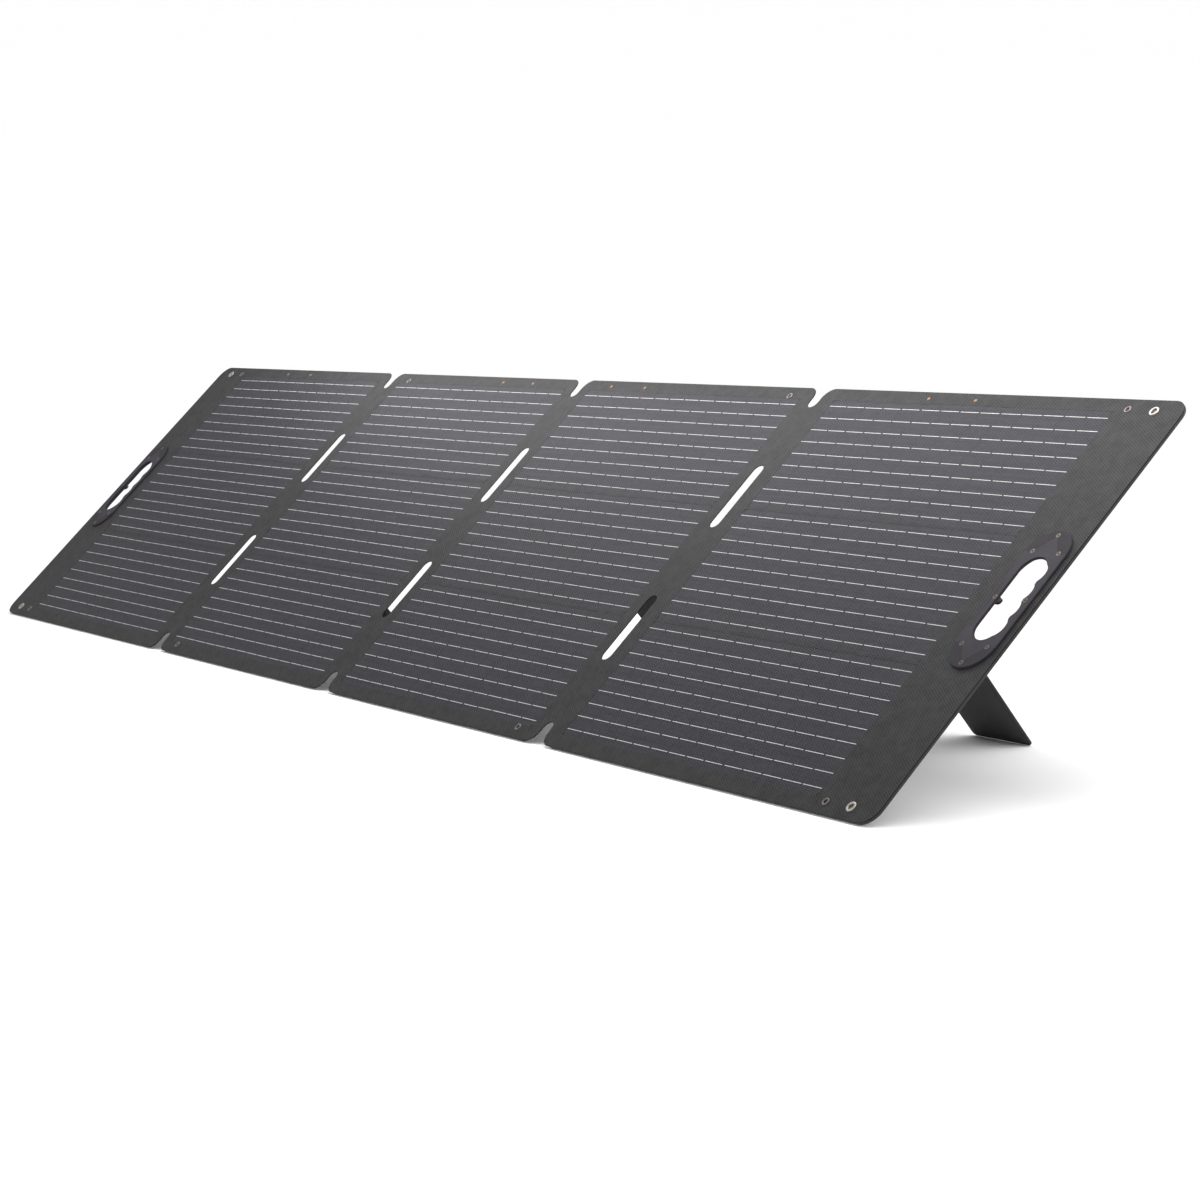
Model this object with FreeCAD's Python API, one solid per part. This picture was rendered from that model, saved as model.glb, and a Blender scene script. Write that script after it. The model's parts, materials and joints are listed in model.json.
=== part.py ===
"""Four-leaf folding solar panel, standing on four flap legs, as a set of separate pieces.

Everything is drawn flat first: x runs along the panel, v up each leaf, w out of the front face.
stand() then leans the drawing back on its legs and sets it on the ground, +Z up.
All lengths are millimetres and all angles degrees.
"""
import FreeCAD, Part
import math
import os

from FreeCAD import Vector

os.makedirs("parts", exist_ok=True)

# ---- driving sizes -------------------------------------------------------------------------
LEAF_HEIGHT = 540.0
INNER_LEAF = 530.0           # hinge line to hinge line
HANDLE_BORDER = 74.0         # how much longer an end leaf is, so that its handle stays free
TILT = 45.0                  # lean of the leaves from the ground
LEG_OPEN = 85.0              # angle between an open leg and the leaf's back

OUTER_CORNER = 20.0          # radius of the two free corners of each end leaf
NOTCH_CORNER = 16.0          # radius of the corners beside a hinge
LAMINATE = 1.0
BOARD = 2.8
COVER = 0.8
THICK = LAMINATE + BOARD + COVER

SLOT_HALF = 8.5              # hinge line to the cut edge of the laminate
BOARD_BACK = 16.5            # hinge line to the edge of the board's cover
NOTCH_DEPTH = 30.0           # how far the gap between two leaves runs in from each end
SLOT_LENGTH = 96.0
SLOT_OFFSET = 100.0          # mid-height to the middle of each slot
WEB_CLEAR = 0.3              # between the web and a leaf that moves against it
WEB_CREASE = 0.8             # cut edge of the laminate to the crease of the middle hinge
FOLD_GAP = 7.0               # between the fronts of two leaves that are folded together

# ---- cells ---------------------------------------------------------------------------------
HINGE_MARGIN = 30.0          # hinge line to the cells of an inner leaf
END_LEAF_MARGIN = 36.0       # the same on an end leaf
EDGE_MARGIN = 17.8           # long edges of the leaf to the cells
STRIP_GAP = 1.2
GROUP_GAP = 2.3
GROUPS = (5, 4, 5)           # strips in each group, left to right
ROW_GAP = 3.8
ROWS = 3
CELL_CHAMFER = 4.0           # cut corner at the two ends of each group
CELL_THICK = 0.2
BUSBARS = 9                  # in each row
RIBBON_WIDTH = 1.1
RIBBON_THICK = 0.1
POCKET_PLAY = 0.05

# ---- handles -------------------------------------------------------------------------------
HANDLE_FROM_END = 39.0       # leaf's outer end to the middle of the handle
HANDLE_RISE = 5.0            # middle of the handle above the middle of the leaf
HANDLE_WIDTH = 61.0
HANDLE_LENGTH = 177.0
HANDLE_PLATE = 2.2
HANDLE_EDGE = 0.9            # rounding of the plate's outer edge
HOLE_WIDTH = 35.0
HOLE_LENGTH = 105.0
FINGERS = 4
FINGER_PITCH = 22.5
FINGER_RADIUS = 14.0
FINGER_DEPTH = 3.4
SET_BACK = 9.0               # opening to the cut edges of the leaf and the back plate
EAR = 3.6                    # half width of what they keep round each side screw
BACK_PLATE = 1.2
RIM_CHAMFER = 1.1

SCREW_RADIUS = 1.5
SCREW_PLAY = 0.05
SCREW_HEAD = 3.0
SCREW_WALL = 1.7             # between the opening and the head of a side screw
SCREW_TIP_IN = 0.2           # tip of a screw inside the back plate's face
SCREW_HEAD_DEPTH = 1.5
SCREW_SOCKET = 1.0
SCREW_SOCKET_DEPTH = 0.9
SCREW_END_INSET = 6.5        # end of the plate to the screws at its two ends
SCREW_CORNER_GAP = 7.4       # end of the opening to the four corner screws, along v
SCREW_CORNER_IN = 3.2        # how far those sit inside the line of the two side screws

# ---- eyelets, magnet buttons and terminals ---------------------------------------------------
EYELET_HOLE = 3.2
EYELET_WALL = 0.7
EYELET_FLANGE = 5.9
EYELET_RISE = 1.0
EYELET_FROM_END = 41.0
EYELET_FROM_EDGE = 15.0
BUTTON_RING = 4.5
BUTTON_STEM = 3.2
MAGNET_RADIUS = 2.2
MAGNET_DEPTH = 3.0
BUTTON_RISE = 0.8
MAGNET_RISE = 0.5
BUTTON_FROM_EDGE = 14.0
BUTTON_END_LEAF = 80.0       # outer end of an end leaf to its magnet buttons
BUTTON_INNER_LEAF = 55.0     # hinge line to the magnet buttons of an inner leaf
TERMINAL_HEAD = 2.3
TERMINAL_STEM = 1.4
TERMINAL_RISE = 0.5
TERMINAL_TOP = 1.6           # radius of the flat on its head
TERMINAL_DEPTH = 2.6
TERMINAL_FROM_TOP = 10.0
TERMINAL_PITCH = 80.0
TERMINAL_RUNS = (-316.0, -164.0, 116.0, 242.0)   # nearest inner hinge to each leaf's pair
FIT_PLAY = 0.05

# ---- legs ----------------------------------------------------------------------------------
LEG_AXIS = 360.0             # leaf's foot to the crease of the leg, along v
LEG_FROM_OUTER_HINGE = 222.0 # hinge line to the middle of an end leaf's leg
LEG_FROM_MIDDLE_HINGE = 161.0
LEG_FOOT = 100.0
LEG_TOP = 110.0
LEG_BOARD = 2.0
LEG_SLEEVE = 0.5
LEG_SEAM = 4.0               # sewn margin of the sleeve outside its board
LEG_CORNER = 5.5
LEG_TOP_CORNER = 1.0
LEG_LIFT = 0.3               # between a stowed leg and the back cover
LEG_CREASE_PLAY = 0.5
FLAP_LENGTH = 62.0
FLAP_THICK = 1.6
FLAP_CORNER = 3.0
FLAP_CLEAR = 2.0             # crease of the leg to the lower edge of the flap
LEG_THICK = LEG_BOARD + 2 * LEG_SLEEVE

# ---- wiring --------------------------------------------------------------------------------
WIRE_WIDTH = 12.0
WIRE_THICK = 0.3
WIRE_PITCH = 40.0            # between the two conductors that cross each hinge
WIRE_PLAY = 0.05

BOX_FROM_END = 170.0         # leaf's outer end to the middle of the junction box
BOX_FROM_TOP = 125.0
BOX_LENGTH = 94.0
BOX_WIDTH = 62.0
BOX_HEIGHT = 15.0
BOX_SCREW_SINK = 1.2         # lid's face to the underside of a screw's head
BOX_SCREW_IN = 0.1           # lid's face to the top of that head
BOX_SCREW_DRIVE = 0.8        # depth of the socket in it
BOX_WALL = 2.2
BOX_CORNER = 8.0
BOX_LID = 2.4
BOX_BOSS = 3.6
BOX_SCREW_INSET = 8.0
BOX_SCREW_LENGTH = 9.0
BOX_SCREW_RADIUS = 1.25
BOX_SCREW_HEAD = 2.6
SOCKET_RADIUS = 6.0
SOCKET_BORE = 4.0
SOCKET_PIN = 1.0
SOCKET_LENGTH = 14.0
SOCKET_COLLAR = 8.0
SOCKET_COLLAR_THICK = 2.0
CIRCUIT_BOARD = 1.6
CIRCUIT_INSET = 6.0
DIODE_LENGTH = 9.0
DIODE_WIDTH = 6.0
DIODE_HEIGHT = 3.0

# ---- places worked out from the sizes ------------------------------------------------------
OUTER_LEAF = INNER_LEAF + HANDLE_BORDER
HINGES = (OUTER_LEAF, OUTER_LEAF + INNER_LEAF, OUTER_LEAF + 2 * INNER_LEAF)
LENGTH = 2 * OUTER_LEAF + 2 * INNER_LEAF
MID = LEAF_HEIGHT / 2
STRIPS = sum(GROUPS)
CELLS_WIDE = INNER_LEAF - 2 * HINGE_MARGIN
GAPS_WIDE = (STRIPS - len(GROUPS)) * STRIP_GAP + (len(GROUPS) - 1) * GROUP_GAP
STRIP_WIDTH = (CELLS_WIDE - GAPS_WIDE) / STRIPS
CELL_HEIGHT = (LEAF_HEIGHT - 2 * EDGE_MARGIN - (ROWS - 1) * ROW_GAP) / ROWS
SCREW_SIDE = HOLE_WIDTH / 2 + SCREW_WALL + SCREW_HEAD
GRIP = MID + HANDLE_RISE
BOX_X = BOX_FROM_END
BOX_V = LEAF_HEIGHT - BOX_FROM_TOP

LEG_AXIS_W = -THICK - LEG_LIFT - LEG_THICK / 2
GROUND = -THICK * math.cos(math.radians(TILT))
LEAN = math.radians(TILT)
SPREAD = math.radians(TILT + LEG_OPEN)
AXIS_HEIGHT = LEG_AXIS * math.sin(LEAN) + LEG_AXIS_W * math.cos(LEAN)
AXIS_BACK = LEG_AXIS * math.cos(LEAN) - LEG_AXIS_W * math.sin(LEAN)
LEG_REACH = (AXIS_HEIGHT - GROUND + LEG_THICK / 2 * math.cos(SPREAD)) / math.sin(SPREAD)
FOOT_BACK = AXIS_BACK - LEG_REACH * math.cos(SPREAD) + LEG_THICK / 2 * math.sin(SPREAD)


class Leaf:
    """One leaf's extent along x, and which of its sides is a free end."""

    def __init__(self, number):
        edges = (0.0,) + HINGES + (LENGTH,)
        self.number = number
        self.low = edges[number - 1]
        self.high = edges[number]
        self.end_is_left = number == 1
        self.end_is_right = number == 4
        self.is_end = self.end_is_left or self.end_is_right

    def from_end(self, distance):
        """x at a distance in from the free end."""
        return self.low + distance if self.end_is_left else self.high - distance

    def cells_start(self):
        if self.end_is_left:
            return self.high - END_LEAF_MARGIN - CELLS_WIDE
        if self.end_is_right:
            return self.low + END_LEAF_MARGIN
        return self.low + HINGE_MARGIN

    def leg_middle(self):
        return {
            1: HINGES[0] - LEG_FROM_OUTER_HINGE,
            2: HINGES[1] - LEG_FROM_MIDDLE_HINGE,
            3: HINGES[1] + LEG_FROM_MIDDLE_HINGE,
            4: HINGES[2] + LEG_FROM_OUTER_HINGE,
        }[self.number]

    def button_x(self):
        if self.is_end:
            return self.from_end(BUTTON_END_LEAF)
        outer_hinge = self.low if self.number == 2 else self.high
        inward = 1 if self.number == 2 else -1
        return outer_hinge + inward * BUTTON_INNER_LEAF


LEAVES = [Leaf(number) for number in (1, 2, 3, 4)]


# ---- shapes --------------------------------------------------------------------------------
def box(x0, x1, v0, v1, w0, w1):
    return Part.makeBox(x1 - x0, v1 - v0, w1 - w0, Vector(x0, v0, w0))


def rod(x, v, w0, w1, radius, tip_radius=None):
    """A round bar along w, or a cone from radius to tip_radius."""
    if tip_radius is None:
        return Part.makeCylinder(radius, w1 - w0, Vector(x, v, w0))
    return Part.makeCone(radius, tip_radius, w1 - w0, Vector(x, v, w0))


def outline(points, radii):
    """A closed wire through the points, each corner rounded by its own radius."""
    edges = []
    starts = []
    ends = []
    count = len(points)
    for i in range(count):
        here = Vector(*points[i], 0)
        before = Vector(*points[i - 1], 0) - here
        after = Vector(*points[(i + 1) % count], 0) - here
        before.normalize()
        after.normalize()
        half = before.getAngle(after) / 2
        run = radii[i] / math.tan(half)
        start = here + before * run
        end = here + after * run
        middle = before + after
        middle.normalize()
        centre = here + middle * (radii[i] / math.sin(half))
        starts.append(start)
        ends.append(end)
        edges.append(Part.Arc(start, centre - middle * radii[i], end).toShape())
    sides = [Part.LineSegment(ends[i - 1], starts[i]).toShape() for i in range(count)]
    ordered = [edge for pair in zip(sides, edges) for edge in pair]
    return Part.Wire(ordered)


def plate(x0, x1, v0, v1, w0, w1, left_radius, right_radius=None):
    """A flat plate with rounded corners."""
    right = left_radius if right_radius is None else right_radius
    corners = [(x0, v0), (x1, v0), (x1, v1), (x0, v1)]
    wire = outline(corners, [left_radius, right, right, left_radius])
    solid = Part.Face(wire).extrude(Vector(0, 0, w1 - w0))
    solid.translate(Vector(0, 0, w0))
    return solid


def stadium(x, v, width, length, w0, w1):
    """A plate with half-round ends, long side along v."""
    radius = width / 2
    straight = length / 2 - radius
    body = box(x - radius, x + radius, v - straight, v + straight, w0, w1)
    low = rod(x, v - straight, w0, w1, radius)
    high = rod(x, v + straight, w0, w1, radius)
    return body.multiFuse([low, high]).removeSplitter()


def hand_hole(x, grow, w0, w1):
    """The opening of a handle: a rounded slot with finger hollows on its right side."""
    shape = stadium(x, GRIP, HOLE_WIDTH + 2 * grow, HOLE_LENGTH + 2 * grow, w0, w1)
    finger_x = x + HOLE_WIDTH / 2 + FINGER_DEPTH - FINGER_RADIUS
    hollows = []
    for i in range(FINGERS):
        finger_v = GRIP + (i - (FINGERS - 1) / 2) * FINGER_PITCH
        hollows.append(rod(finger_x, finger_v, w0, w1, FINGER_RADIUS + grow))
    return shape.multiFuse(hollows).removeSplitter()


def rear_opening(x, w0, w1):
    """The wider opening behind the front plate, with an ear left round each side screw."""
    wide = stadium(x, GRIP, HOLE_WIDTH + 2 * SET_BACK, HOLE_LENGTH + 2 * SET_BACK, w0, w1)
    for side in (-1, 1):
        tip = x + side * SCREW_SIDE
        root = x + side * (HOLE_WIDTH / 2 + SET_BACK + EAR)
        tongue = box(min(tip, root), max(tip, root), GRIP - EAR, GRIP + EAR, w0, w1)
        wide = wide.cut(tongue.fuse(rod(tip, GRIP, w0, w1, EAR)))
    return wide


def join(solids):
    return Part.makeCompound(solids)


def handle_screw_places(x):
    end_run = HANDLE_LENGTH / 2 - SCREW_END_INSET
    corner_run = HOLE_LENGTH / 2 + SCREW_CORNER_GAP
    corner_side = SCREW_SIDE - SCREW_CORNER_IN
    places = [(x, GRIP - end_run), (x, GRIP + end_run)]
    for side in (-1, 1):
        places.append((x + side * SCREW_SIDE, GRIP))
        for end in (-1, 1):
            places.append((x + side * corner_side, GRIP + end * corner_run))
    return places


def eyelet_places(leaf):
    x = leaf.from_end(EYELET_FROM_END)
    return [(x, EYELET_FROM_EDGE), (x, LEAF_HEIGHT - EYELET_FROM_EDGE)]


def button_places(leaf):
    x = leaf.button_x()
    return [(x, BUTTON_FROM_EDGE), (x, LEAF_HEIGHT - BUTTON_FROM_EDGE)]


def terminal_places(leaf):
    hinge = (HINGES[0], HINGES[1], HINGES[1], HINGES[2])[leaf.number - 1]
    middle = hinge + TERMINAL_RUNS[leaf.number - 1]
    v = LEAF_HEIGHT - TERMINAL_FROM_TOP
    return [(middle - TERMINAL_PITCH / 2, v), (middle + TERMINAL_PITCH / 2, v)]


# ---- a leaf's own layers -------------------------------------------------------------------
def leaf_plate(leaf, w0, w1, hinge_inset, inset=0.0):
    """A leaf-shaped plate, set in from its free edges by inset and from its hinges."""
    left = inset if leaf.end_is_left else hinge_inset
    right = inset if leaf.end_is_right else hinge_inset
    left_radius = (OUTER_CORNER if leaf.end_is_left else NOTCH_CORNER) - inset
    right_radius = (OUTER_CORNER if leaf.end_is_right else NOTCH_CORNER) - inset
    return plate(
        leaf.low + left, leaf.high - right,
        inset, LEAF_HEIGHT - inset,
        w0, w1, left_radius, right_radius,
    )


def leaf_holes(leaf, w0, w1):
    """Everything that passes through a leaf's layers between w0 and w1."""
    cuts = []
    for x, v in button_places(leaf):
        cuts.append(rod(x, v, w0, w1, BUTTON_STEM + FIT_PLAY))
    if leaf.is_end:
        handle_x = leaf.from_end(HANDLE_FROM_END)
        cuts.append(rear_opening(handle_x, w0, w1))
        for x, v in handle_screw_places(handle_x):
            cuts.append(rod(x, v, w0, w1, SCREW_RADIUS + SCREW_PLAY))
        for x, v in eyelet_places(leaf):
            cuts.append(rod(x, v, w0, w1, EYELET_HOLE + EYELET_WALL + FIT_PLAY))
    return cuts


def terminal_holes(leaf):
    """Blind holes for the terminals, down from the front face."""
    places = terminal_places(leaf)
    low = -TERMINAL_DEPTH - FIT_PLAY
    return [rod(x, v, low, 0, TERMINAL_STEM + FIT_PLAY) for x, v in places]


def strip_lefts(leaf):
    """Left side of each cell strip, with whether it starts or ends a group."""
    found = []
    x = leaf.cells_start()
    for group in GROUPS:
        for i in range(group):
            found.append((x, i == 0, i == group - 1))
            x += STRIP_WIDTH + (STRIP_GAP if i < group - 1 else GROUP_GAP)
    return found


def row_foot(row):
    return EDGE_MARGIN + row * (CELL_HEIGHT + ROW_GAP)


def cell_strip(x, v, opens, closes, w0, w1, grow=0.0):
    """One strip of a cell: the cell's own cut corners show where a group starts or ends."""
    x0 = x - grow
    x1 = x + STRIP_WIDTH + grow
    v0 = v - grow
    v1 = v + CELL_HEIGHT + grow
    cut_left = CELL_CHAMFER if opens else 0.0
    cut_right = CELL_CHAMFER if closes else 0.0
    points = [(x0 + cut_left, v0), (x1 - cut_right, v0)]
    if closes:
        points += [(x1, v0 + cut_right), (x1, v1 - cut_right)]
    points += [(x1 - cut_right, v1), (x0 + cut_left, v1)]
    if opens:
        points += [(x0, v1 - cut_left), (x0, v0 + cut_left)]
    corners = [Vector(*point, w0) for point in points]
    return Part.Face(Part.makePolygon(corners + corners[:1])).extrude(Vector(0, 0, w1 - w0))


def cell_strips(leaf):
    top = -RIBBON_THICK
    solids = []
    for x, opens, closes in strip_lefts(leaf):
        for row in range(ROWS):
            solids.append(cell_strip(x, row_foot(row), opens, closes, top - CELL_THICK, top))
    return solids


def busbar_ribbons(leaf):
    start = leaf.cells_start()
    end = start + CELLS_WIDE
    pitch = CELL_HEIGHT / BUSBARS
    solids = []
    for row in range(ROWS):
        for i in range(BUSBARS):
            v = row_foot(row) + (i + 0.5) * pitch
            half = RIBBON_WIDTH / 2
            solids.append(box(start, end, v - half, v + half, -RIBBON_THICK, 0))
    return solids


def laminate(leaf):
    """The front sheet: clear face film and dark backing, pressed together round the cells."""
    sheet = leaf_plate(leaf, -LAMINATE, 0, SLOT_HALF)
    start = leaf.cells_start() - POCKET_PLAY
    end = start + CELLS_WIDE + 2 * POCKET_PLAY
    depth = RIBBON_THICK + CELL_THICK
    cuts = leaf_holes(leaf, -LAMINATE, 0) + terminal_holes(leaf)
    for row in range(ROWS):
        low = row_foot(row) - POCKET_PLAY
        high = low + CELL_HEIGHT + 2 * POCKET_PLAY
        cuts.append(box(start, end, low, high, -depth, 0))
    return sheet.cut(join(cuts))


def leaf_board(leaf):
    inner = COVER + FIT_PLAY
    low = -LAMINATE - BOARD
    board = leaf_plate(leaf, low, -LAMINATE, BOARD_BACK + inner, inner)
    cuts = leaf_holes(leaf, low, -LAMINATE) + terminal_holes(leaf)
    return board.cut(join(cuts))


def back_cover(leaf):
    """Fabric over the back, turned up round the board's edges to the laminate."""
    whole = leaf_plate(leaf, -THICK, -LAMINATE, BOARD_BACK)
    hollow = leaf_plate(leaf, -LAMINATE - BOARD, -LAMINATE, BOARD_BACK + COVER, COVER)
    return whole.cut(join([hollow] + leaf_holes(leaf, -THICK, -LAMINATE)))


def terminals(leaf):
    """Two riveted copper posts that bring the leaf's current through to the back."""
    solids = []
    for x, v in terminal_places(leaf):
        stem = rod(x, v, -TERMINAL_DEPTH, 0, TERMINAL_STEM)
        head = rod(x, v, 0, TERMINAL_RISE, TERMINAL_HEAD, TERMINAL_TOP)
        solids.append(stem.fuse(head))
    return solids


def magnet_buttons(leaf):
    """Ring rivets with a magnet in the middle, which hold the folded leaves together."""
    solids = []
    for x, v in button_places(leaf):
        stem = rod(x, v, -THICK, 0, BUTTON_STEM)
        front = rod(x, v, 0, BUTTON_RISE, BUTTON_RING, BUTTON_RING - BUTTON_RISE / 2)
        back = rod(x, v, -THICK - BUTTON_RISE, -THICK, BUTTON_RING)
        seat = rod(x, v, BUTTON_RISE - MAGNET_DEPTH, BUTTON_RISE, MAGNET_RADIUS)
        solids.append(stem.multiFuse([front, back]).cut(seat).removeSplitter())
        magnet_low = BUTTON_RISE - MAGNET_DEPTH
        solids.append(rod(x, v, magnet_low, MAGNET_RISE, MAGNET_RADIUS - FIT_PLAY))
    return solids


# ---- handles and eyelets -------------------------------------------------------------------
def soften(shape, is_wanted, size):
    """Chamfer the edges that is_wanted picks."""
    edges = [edge for edge in shape.Edges if is_wanted(edge)]
    return shape.makeChamfer(size, edges)


def is_outer_top(edge, x, level):
    """True for an edge of the plate's outer outline at height level."""
    extent = edge.BoundBox
    flat = abs(extent.ZMin - level) < 1e-6 and abs(extent.ZMax - level) < 1e-6
    middle = edge.valueAt((edge.FirstParameter + edge.LastParameter) / 2)
    at_side = abs(middle.x - x) > HANDLE_WIDTH / 2 - 1
    at_end = abs(middle.y - GRIP) > HANDLE_LENGTH / 2 - 1
    return flat and (at_side or at_end)


def handle_front(x):
    """Front plate of a handle, with finger hollows along the outer side of its opening."""
    face = stadium(x, GRIP, HANDLE_WIDTH, HANDLE_LENGTH, 0, HANDLE_PLATE)
    solid = soften(face, lambda edge: is_outer_top(edge, x, HANDLE_PLATE), HANDLE_EDGE)
    cuts = [hand_hole(x, 0, 0, HANDLE_PLATE)]
    steps = 4
    for i in range(steps):
        # the rim is eased off in small steps, so that the finger hollows keep their shape
        depth = RIM_CHAMFER * (1 - i / steps)
        grow = RIM_CHAMFER - depth + RIM_CHAMFER / steps
        cuts.append(hand_hole(x, grow, HANDLE_PLATE - depth, HANDLE_PLATE))
    for sx, sv in handle_screw_places(x):
        cuts.append(rod(sx, sv, 0, HANDLE_PLATE, SCREW_RADIUS + SCREW_PLAY))
        low = HANDLE_PLATE - SCREW_HEAD_DEPTH
        cuts.append(rod(sx, sv, low, HANDLE_PLATE, SCREW_RADIUS + SCREW_PLAY, SCREW_HEAD))
    for cut in cuts:
        solid = solid.cut(cut)
    return solid


def handle_back(x):
    """Back plate of a handle, which the screws draw up against the leaf."""
    low = -THICK - BACK_PLATE
    solid = stadium(x, GRIP, HANDLE_WIDTH, HANDLE_LENGTH, low, -THICK)
    solid = soften(solid, lambda edge: is_outer_top(edge, x, low), HANDLE_EDGE)
    cuts = [rear_opening(x, low, -THICK)]
    for sx, sv in handle_screw_places(x):
        cuts.append(rod(sx, sv, low, -THICK, SCREW_RADIUS + SCREW_PLAY))
    return solid.cut(join(cuts))


def handle_screws(x):
    solids = []
    low = -THICK - BACK_PLATE + SCREW_TIP_IN
    for sx, sv in handle_screw_places(x):
        shank = rod(sx, sv, low, HANDLE_PLATE - SCREW_HEAD_DEPTH, SCREW_RADIUS)
        head_low = HANDLE_PLATE - SCREW_HEAD_DEPTH
        head_high = HANDLE_PLATE - 2 * SCREW_PLAY
        head = rod(sx, sv, head_low, head_high, SCREW_RADIUS, SCREW_HEAD - 3 * SCREW_PLAY)
        drive = rod(sx, sv, head_high - SCREW_SOCKET_DEPTH, head_high, SCREW_SOCKET)
        solids.append(shank.fuse(head).cut(drive).removeSplitter())
    return solids


def eyelets(leaf):
    """Flanged eyelets through the corners, each closed by a washer at the back."""
    solids = []
    outer = EYELET_HOLE + EYELET_WALL
    low = -THICK - EYELET_RISE
    for x, v in eyelet_places(leaf):
        barrel = rod(x, v, low, EYELET_RISE, outer)
        flange = rod(x, v, 0, EYELET_RISE, EYELET_FLANGE, EYELET_FLANGE - EYELET_RISE)
        hole = rod(x, v, low, EYELET_RISE, EYELET_HOLE)
        solids.append(barrel.fuse(flange).cut(hole).removeSplitter())
        washer = rod(x, v, low, -THICK, EYELET_FLANGE - EYELET_RISE / 2, EYELET_FLANGE)
        solids.append(washer.cut(rod(x, v, low, -THICK, outer + FIT_PLAY)))
    return solids


# ---- hinges --------------------------------------------------------------------------------
def web_spans():
    """The three stretches of fabric that cross each hinge, out to the rounding's centres."""
    run = SLOT_LENGTH / 2 - SLOT_HALF
    cuts = [NOTCH_DEPTH - SLOT_HALF]
    for side in (-1, 1):
        middle = MID + side * SLOT_OFFSET
        cuts += [middle - run, middle + run]
    cuts.append(LEAF_HEIGHT - NOTCH_DEPTH + SLOT_HALF)
    return [(cuts[0], cuts[1]), (cuts[2], cuts[3]), (cuts[4], cuts[5])]


def wire_places():
    return [MID - WIRE_PITCH / 2, MID + WIRE_PITCH / 2]


def hinge_web(hinge, left_reach, right_reach):
    """Fabric between two leaves, in three stretches with hollowed ends at the slots."""
    hollow = SLOT_HALF - 2 * WEB_CLEAR
    solids = []
    for low, high in web_spans():
        web = box(hinge - left_reach, hinge + right_reach, low, high, -LAMINATE, 0)
        ends = [rod(hinge, end, -LAMINATE, 0, hollow) for end in (low, high)]
        web = web.cut(join(ends))
        for v in wire_places():
            half = WIRE_WIDTH / 2 + WIRE_PLAY
            depth = WIRE_THICK / 2 + WIRE_PLAY
            middle = -LAMINATE / 2
            channel = box(
                hinge - left_reach, hinge + right_reach,
                v - half, v + half, middle - depth, middle + depth,
            )
            web = web.cut(channel)
        solids.append(web)
    return solids


def hinge_conductors(hinge, left_reach, right_reach):
    """The two flat conductors that carry the current across a hinge, inside its fabric."""
    solids = []
    for v in wire_places():
        half = WIRE_WIDTH / 2
        middle = -LAMINATE / 2
        depth = WIRE_THICK / 2
        solids.append(box(
            hinge - left_reach, hinge + right_reach,
            v - half, v + half, middle - depth, middle + depth,
        ))
    return solids


# ---- legs ----------------------------------------------------------------------------------
def leg_plate(middle, inset, w0, w1, top_inset=0.0):
    """A leg's outline when it lies stowed: narrower at the foot, with rounded foot corners."""
    top = LEG_AXIS - LEG_CREASE_PLAY - top_inset
    foot = LEG_AXIS - LEG_REACH + inset
    corners = [
        (middle - LEG_FOOT / 2 + inset, foot),
        (middle + LEG_FOOT / 2 - inset, foot),
        (middle + LEG_TOP / 2 - inset, top),
        (middle - LEG_TOP / 2 + inset, top),
    ]
    foot_radius = LEG_CORNER - inset
    radii = [foot_radius, foot_radius, LEG_TOP_CORNER, LEG_TOP_CORNER]
    wire = outline(corners, radii)
    solid = Part.Face(wire).extrude(Vector(0, 0, w1 - w0))
    solid.translate(Vector(0, 0, w0))
    return solid


def open_leg(shape):
    """Swing a stowed leg out to its open position."""
    turned = shape.copy()
    turned.rotate(Vector(0, LEG_AXIS, LEG_AXIS_W), Vector(1, 0, 0), LEG_OPEN)
    return turned


def leg_board(leaf):
    half = LEG_BOARD / 2
    board = leg_plate(leaf.leg_middle(), LEG_SEAM, LEG_AXIS_W - half, LEG_AXIS_W + half)
    return open_leg(board)


def leg_sleeve(leaf):
    """The leg's sewn fabric sleeve, open at the crease where its board goes in."""
    middle = leaf.leg_middle()
    half = LEG_THICK / 2
    whole = leg_plate(middle, 0, LEG_AXIS_W - half, LEG_AXIS_W + half)
    room = LEG_BOARD / 2 + FIT_PLAY / 2
    pocket = leg_plate(middle, LEG_SEAM - FIT_PLAY, LEG_AXIS_W - room, LEG_AXIS_W + room)
    mouth = box(
        middle - LEG_TOP / 2 + LEG_SEAM, middle + LEG_TOP / 2 - LEG_SEAM,
        LEG_AXIS - 3 * LEG_SEAM, LEG_AXIS, LEG_AXIS_W - room, LEG_AXIS_W + room,
    )
    return open_leg(whole.cut(pocket).cut(mouth))


def leg_flap(leaf):
    """The strip sewn to the back cover that the leg hangs from."""
    middle = leaf.leg_middle()
    low = LEG_AXIS + FLAP_CLEAR
    return plate(
        middle - LEG_TOP / 2, middle + LEG_TOP / 2, low, low + FLAP_LENGTH,
        -THICK - FLAP_THICK, -THICK, FLAP_CORNER,
    )


# ---- junction box --------------------------------------------------------------------------
def box_screw_places():
    places = []
    for side in (-1, 1):
        for end in (-1, 1):
            x = BOX_X + side * (BOX_LENGTH / 2 - BOX_SCREW_INSET)
            v = BOX_V + end * (BOX_WIDTH / 2 - BOX_SCREW_INSET)
            places.append((x, v))
    return places


def box_plate(inset, w0, w1):
    return plate(
        BOX_X - BOX_LENGTH / 2 + inset, BOX_X + BOX_LENGTH / 2 - inset,
        BOX_V - BOX_WIDTH / 2 + inset, BOX_V + BOX_WIDTH / 2 - inset,
        w0, w1, BOX_CORNER - inset,
    )


def box_low():
    return -THICK - BOX_HEIGHT


def socket_w():
    return -THICK - BOX_HEIGHT / 2 - 1


def along_v(x, v0, v1, w, radius):
    return Part.makeCylinder(radius, v1 - v0, Vector(x, v0, w), Vector(0, 1, 0))


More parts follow.
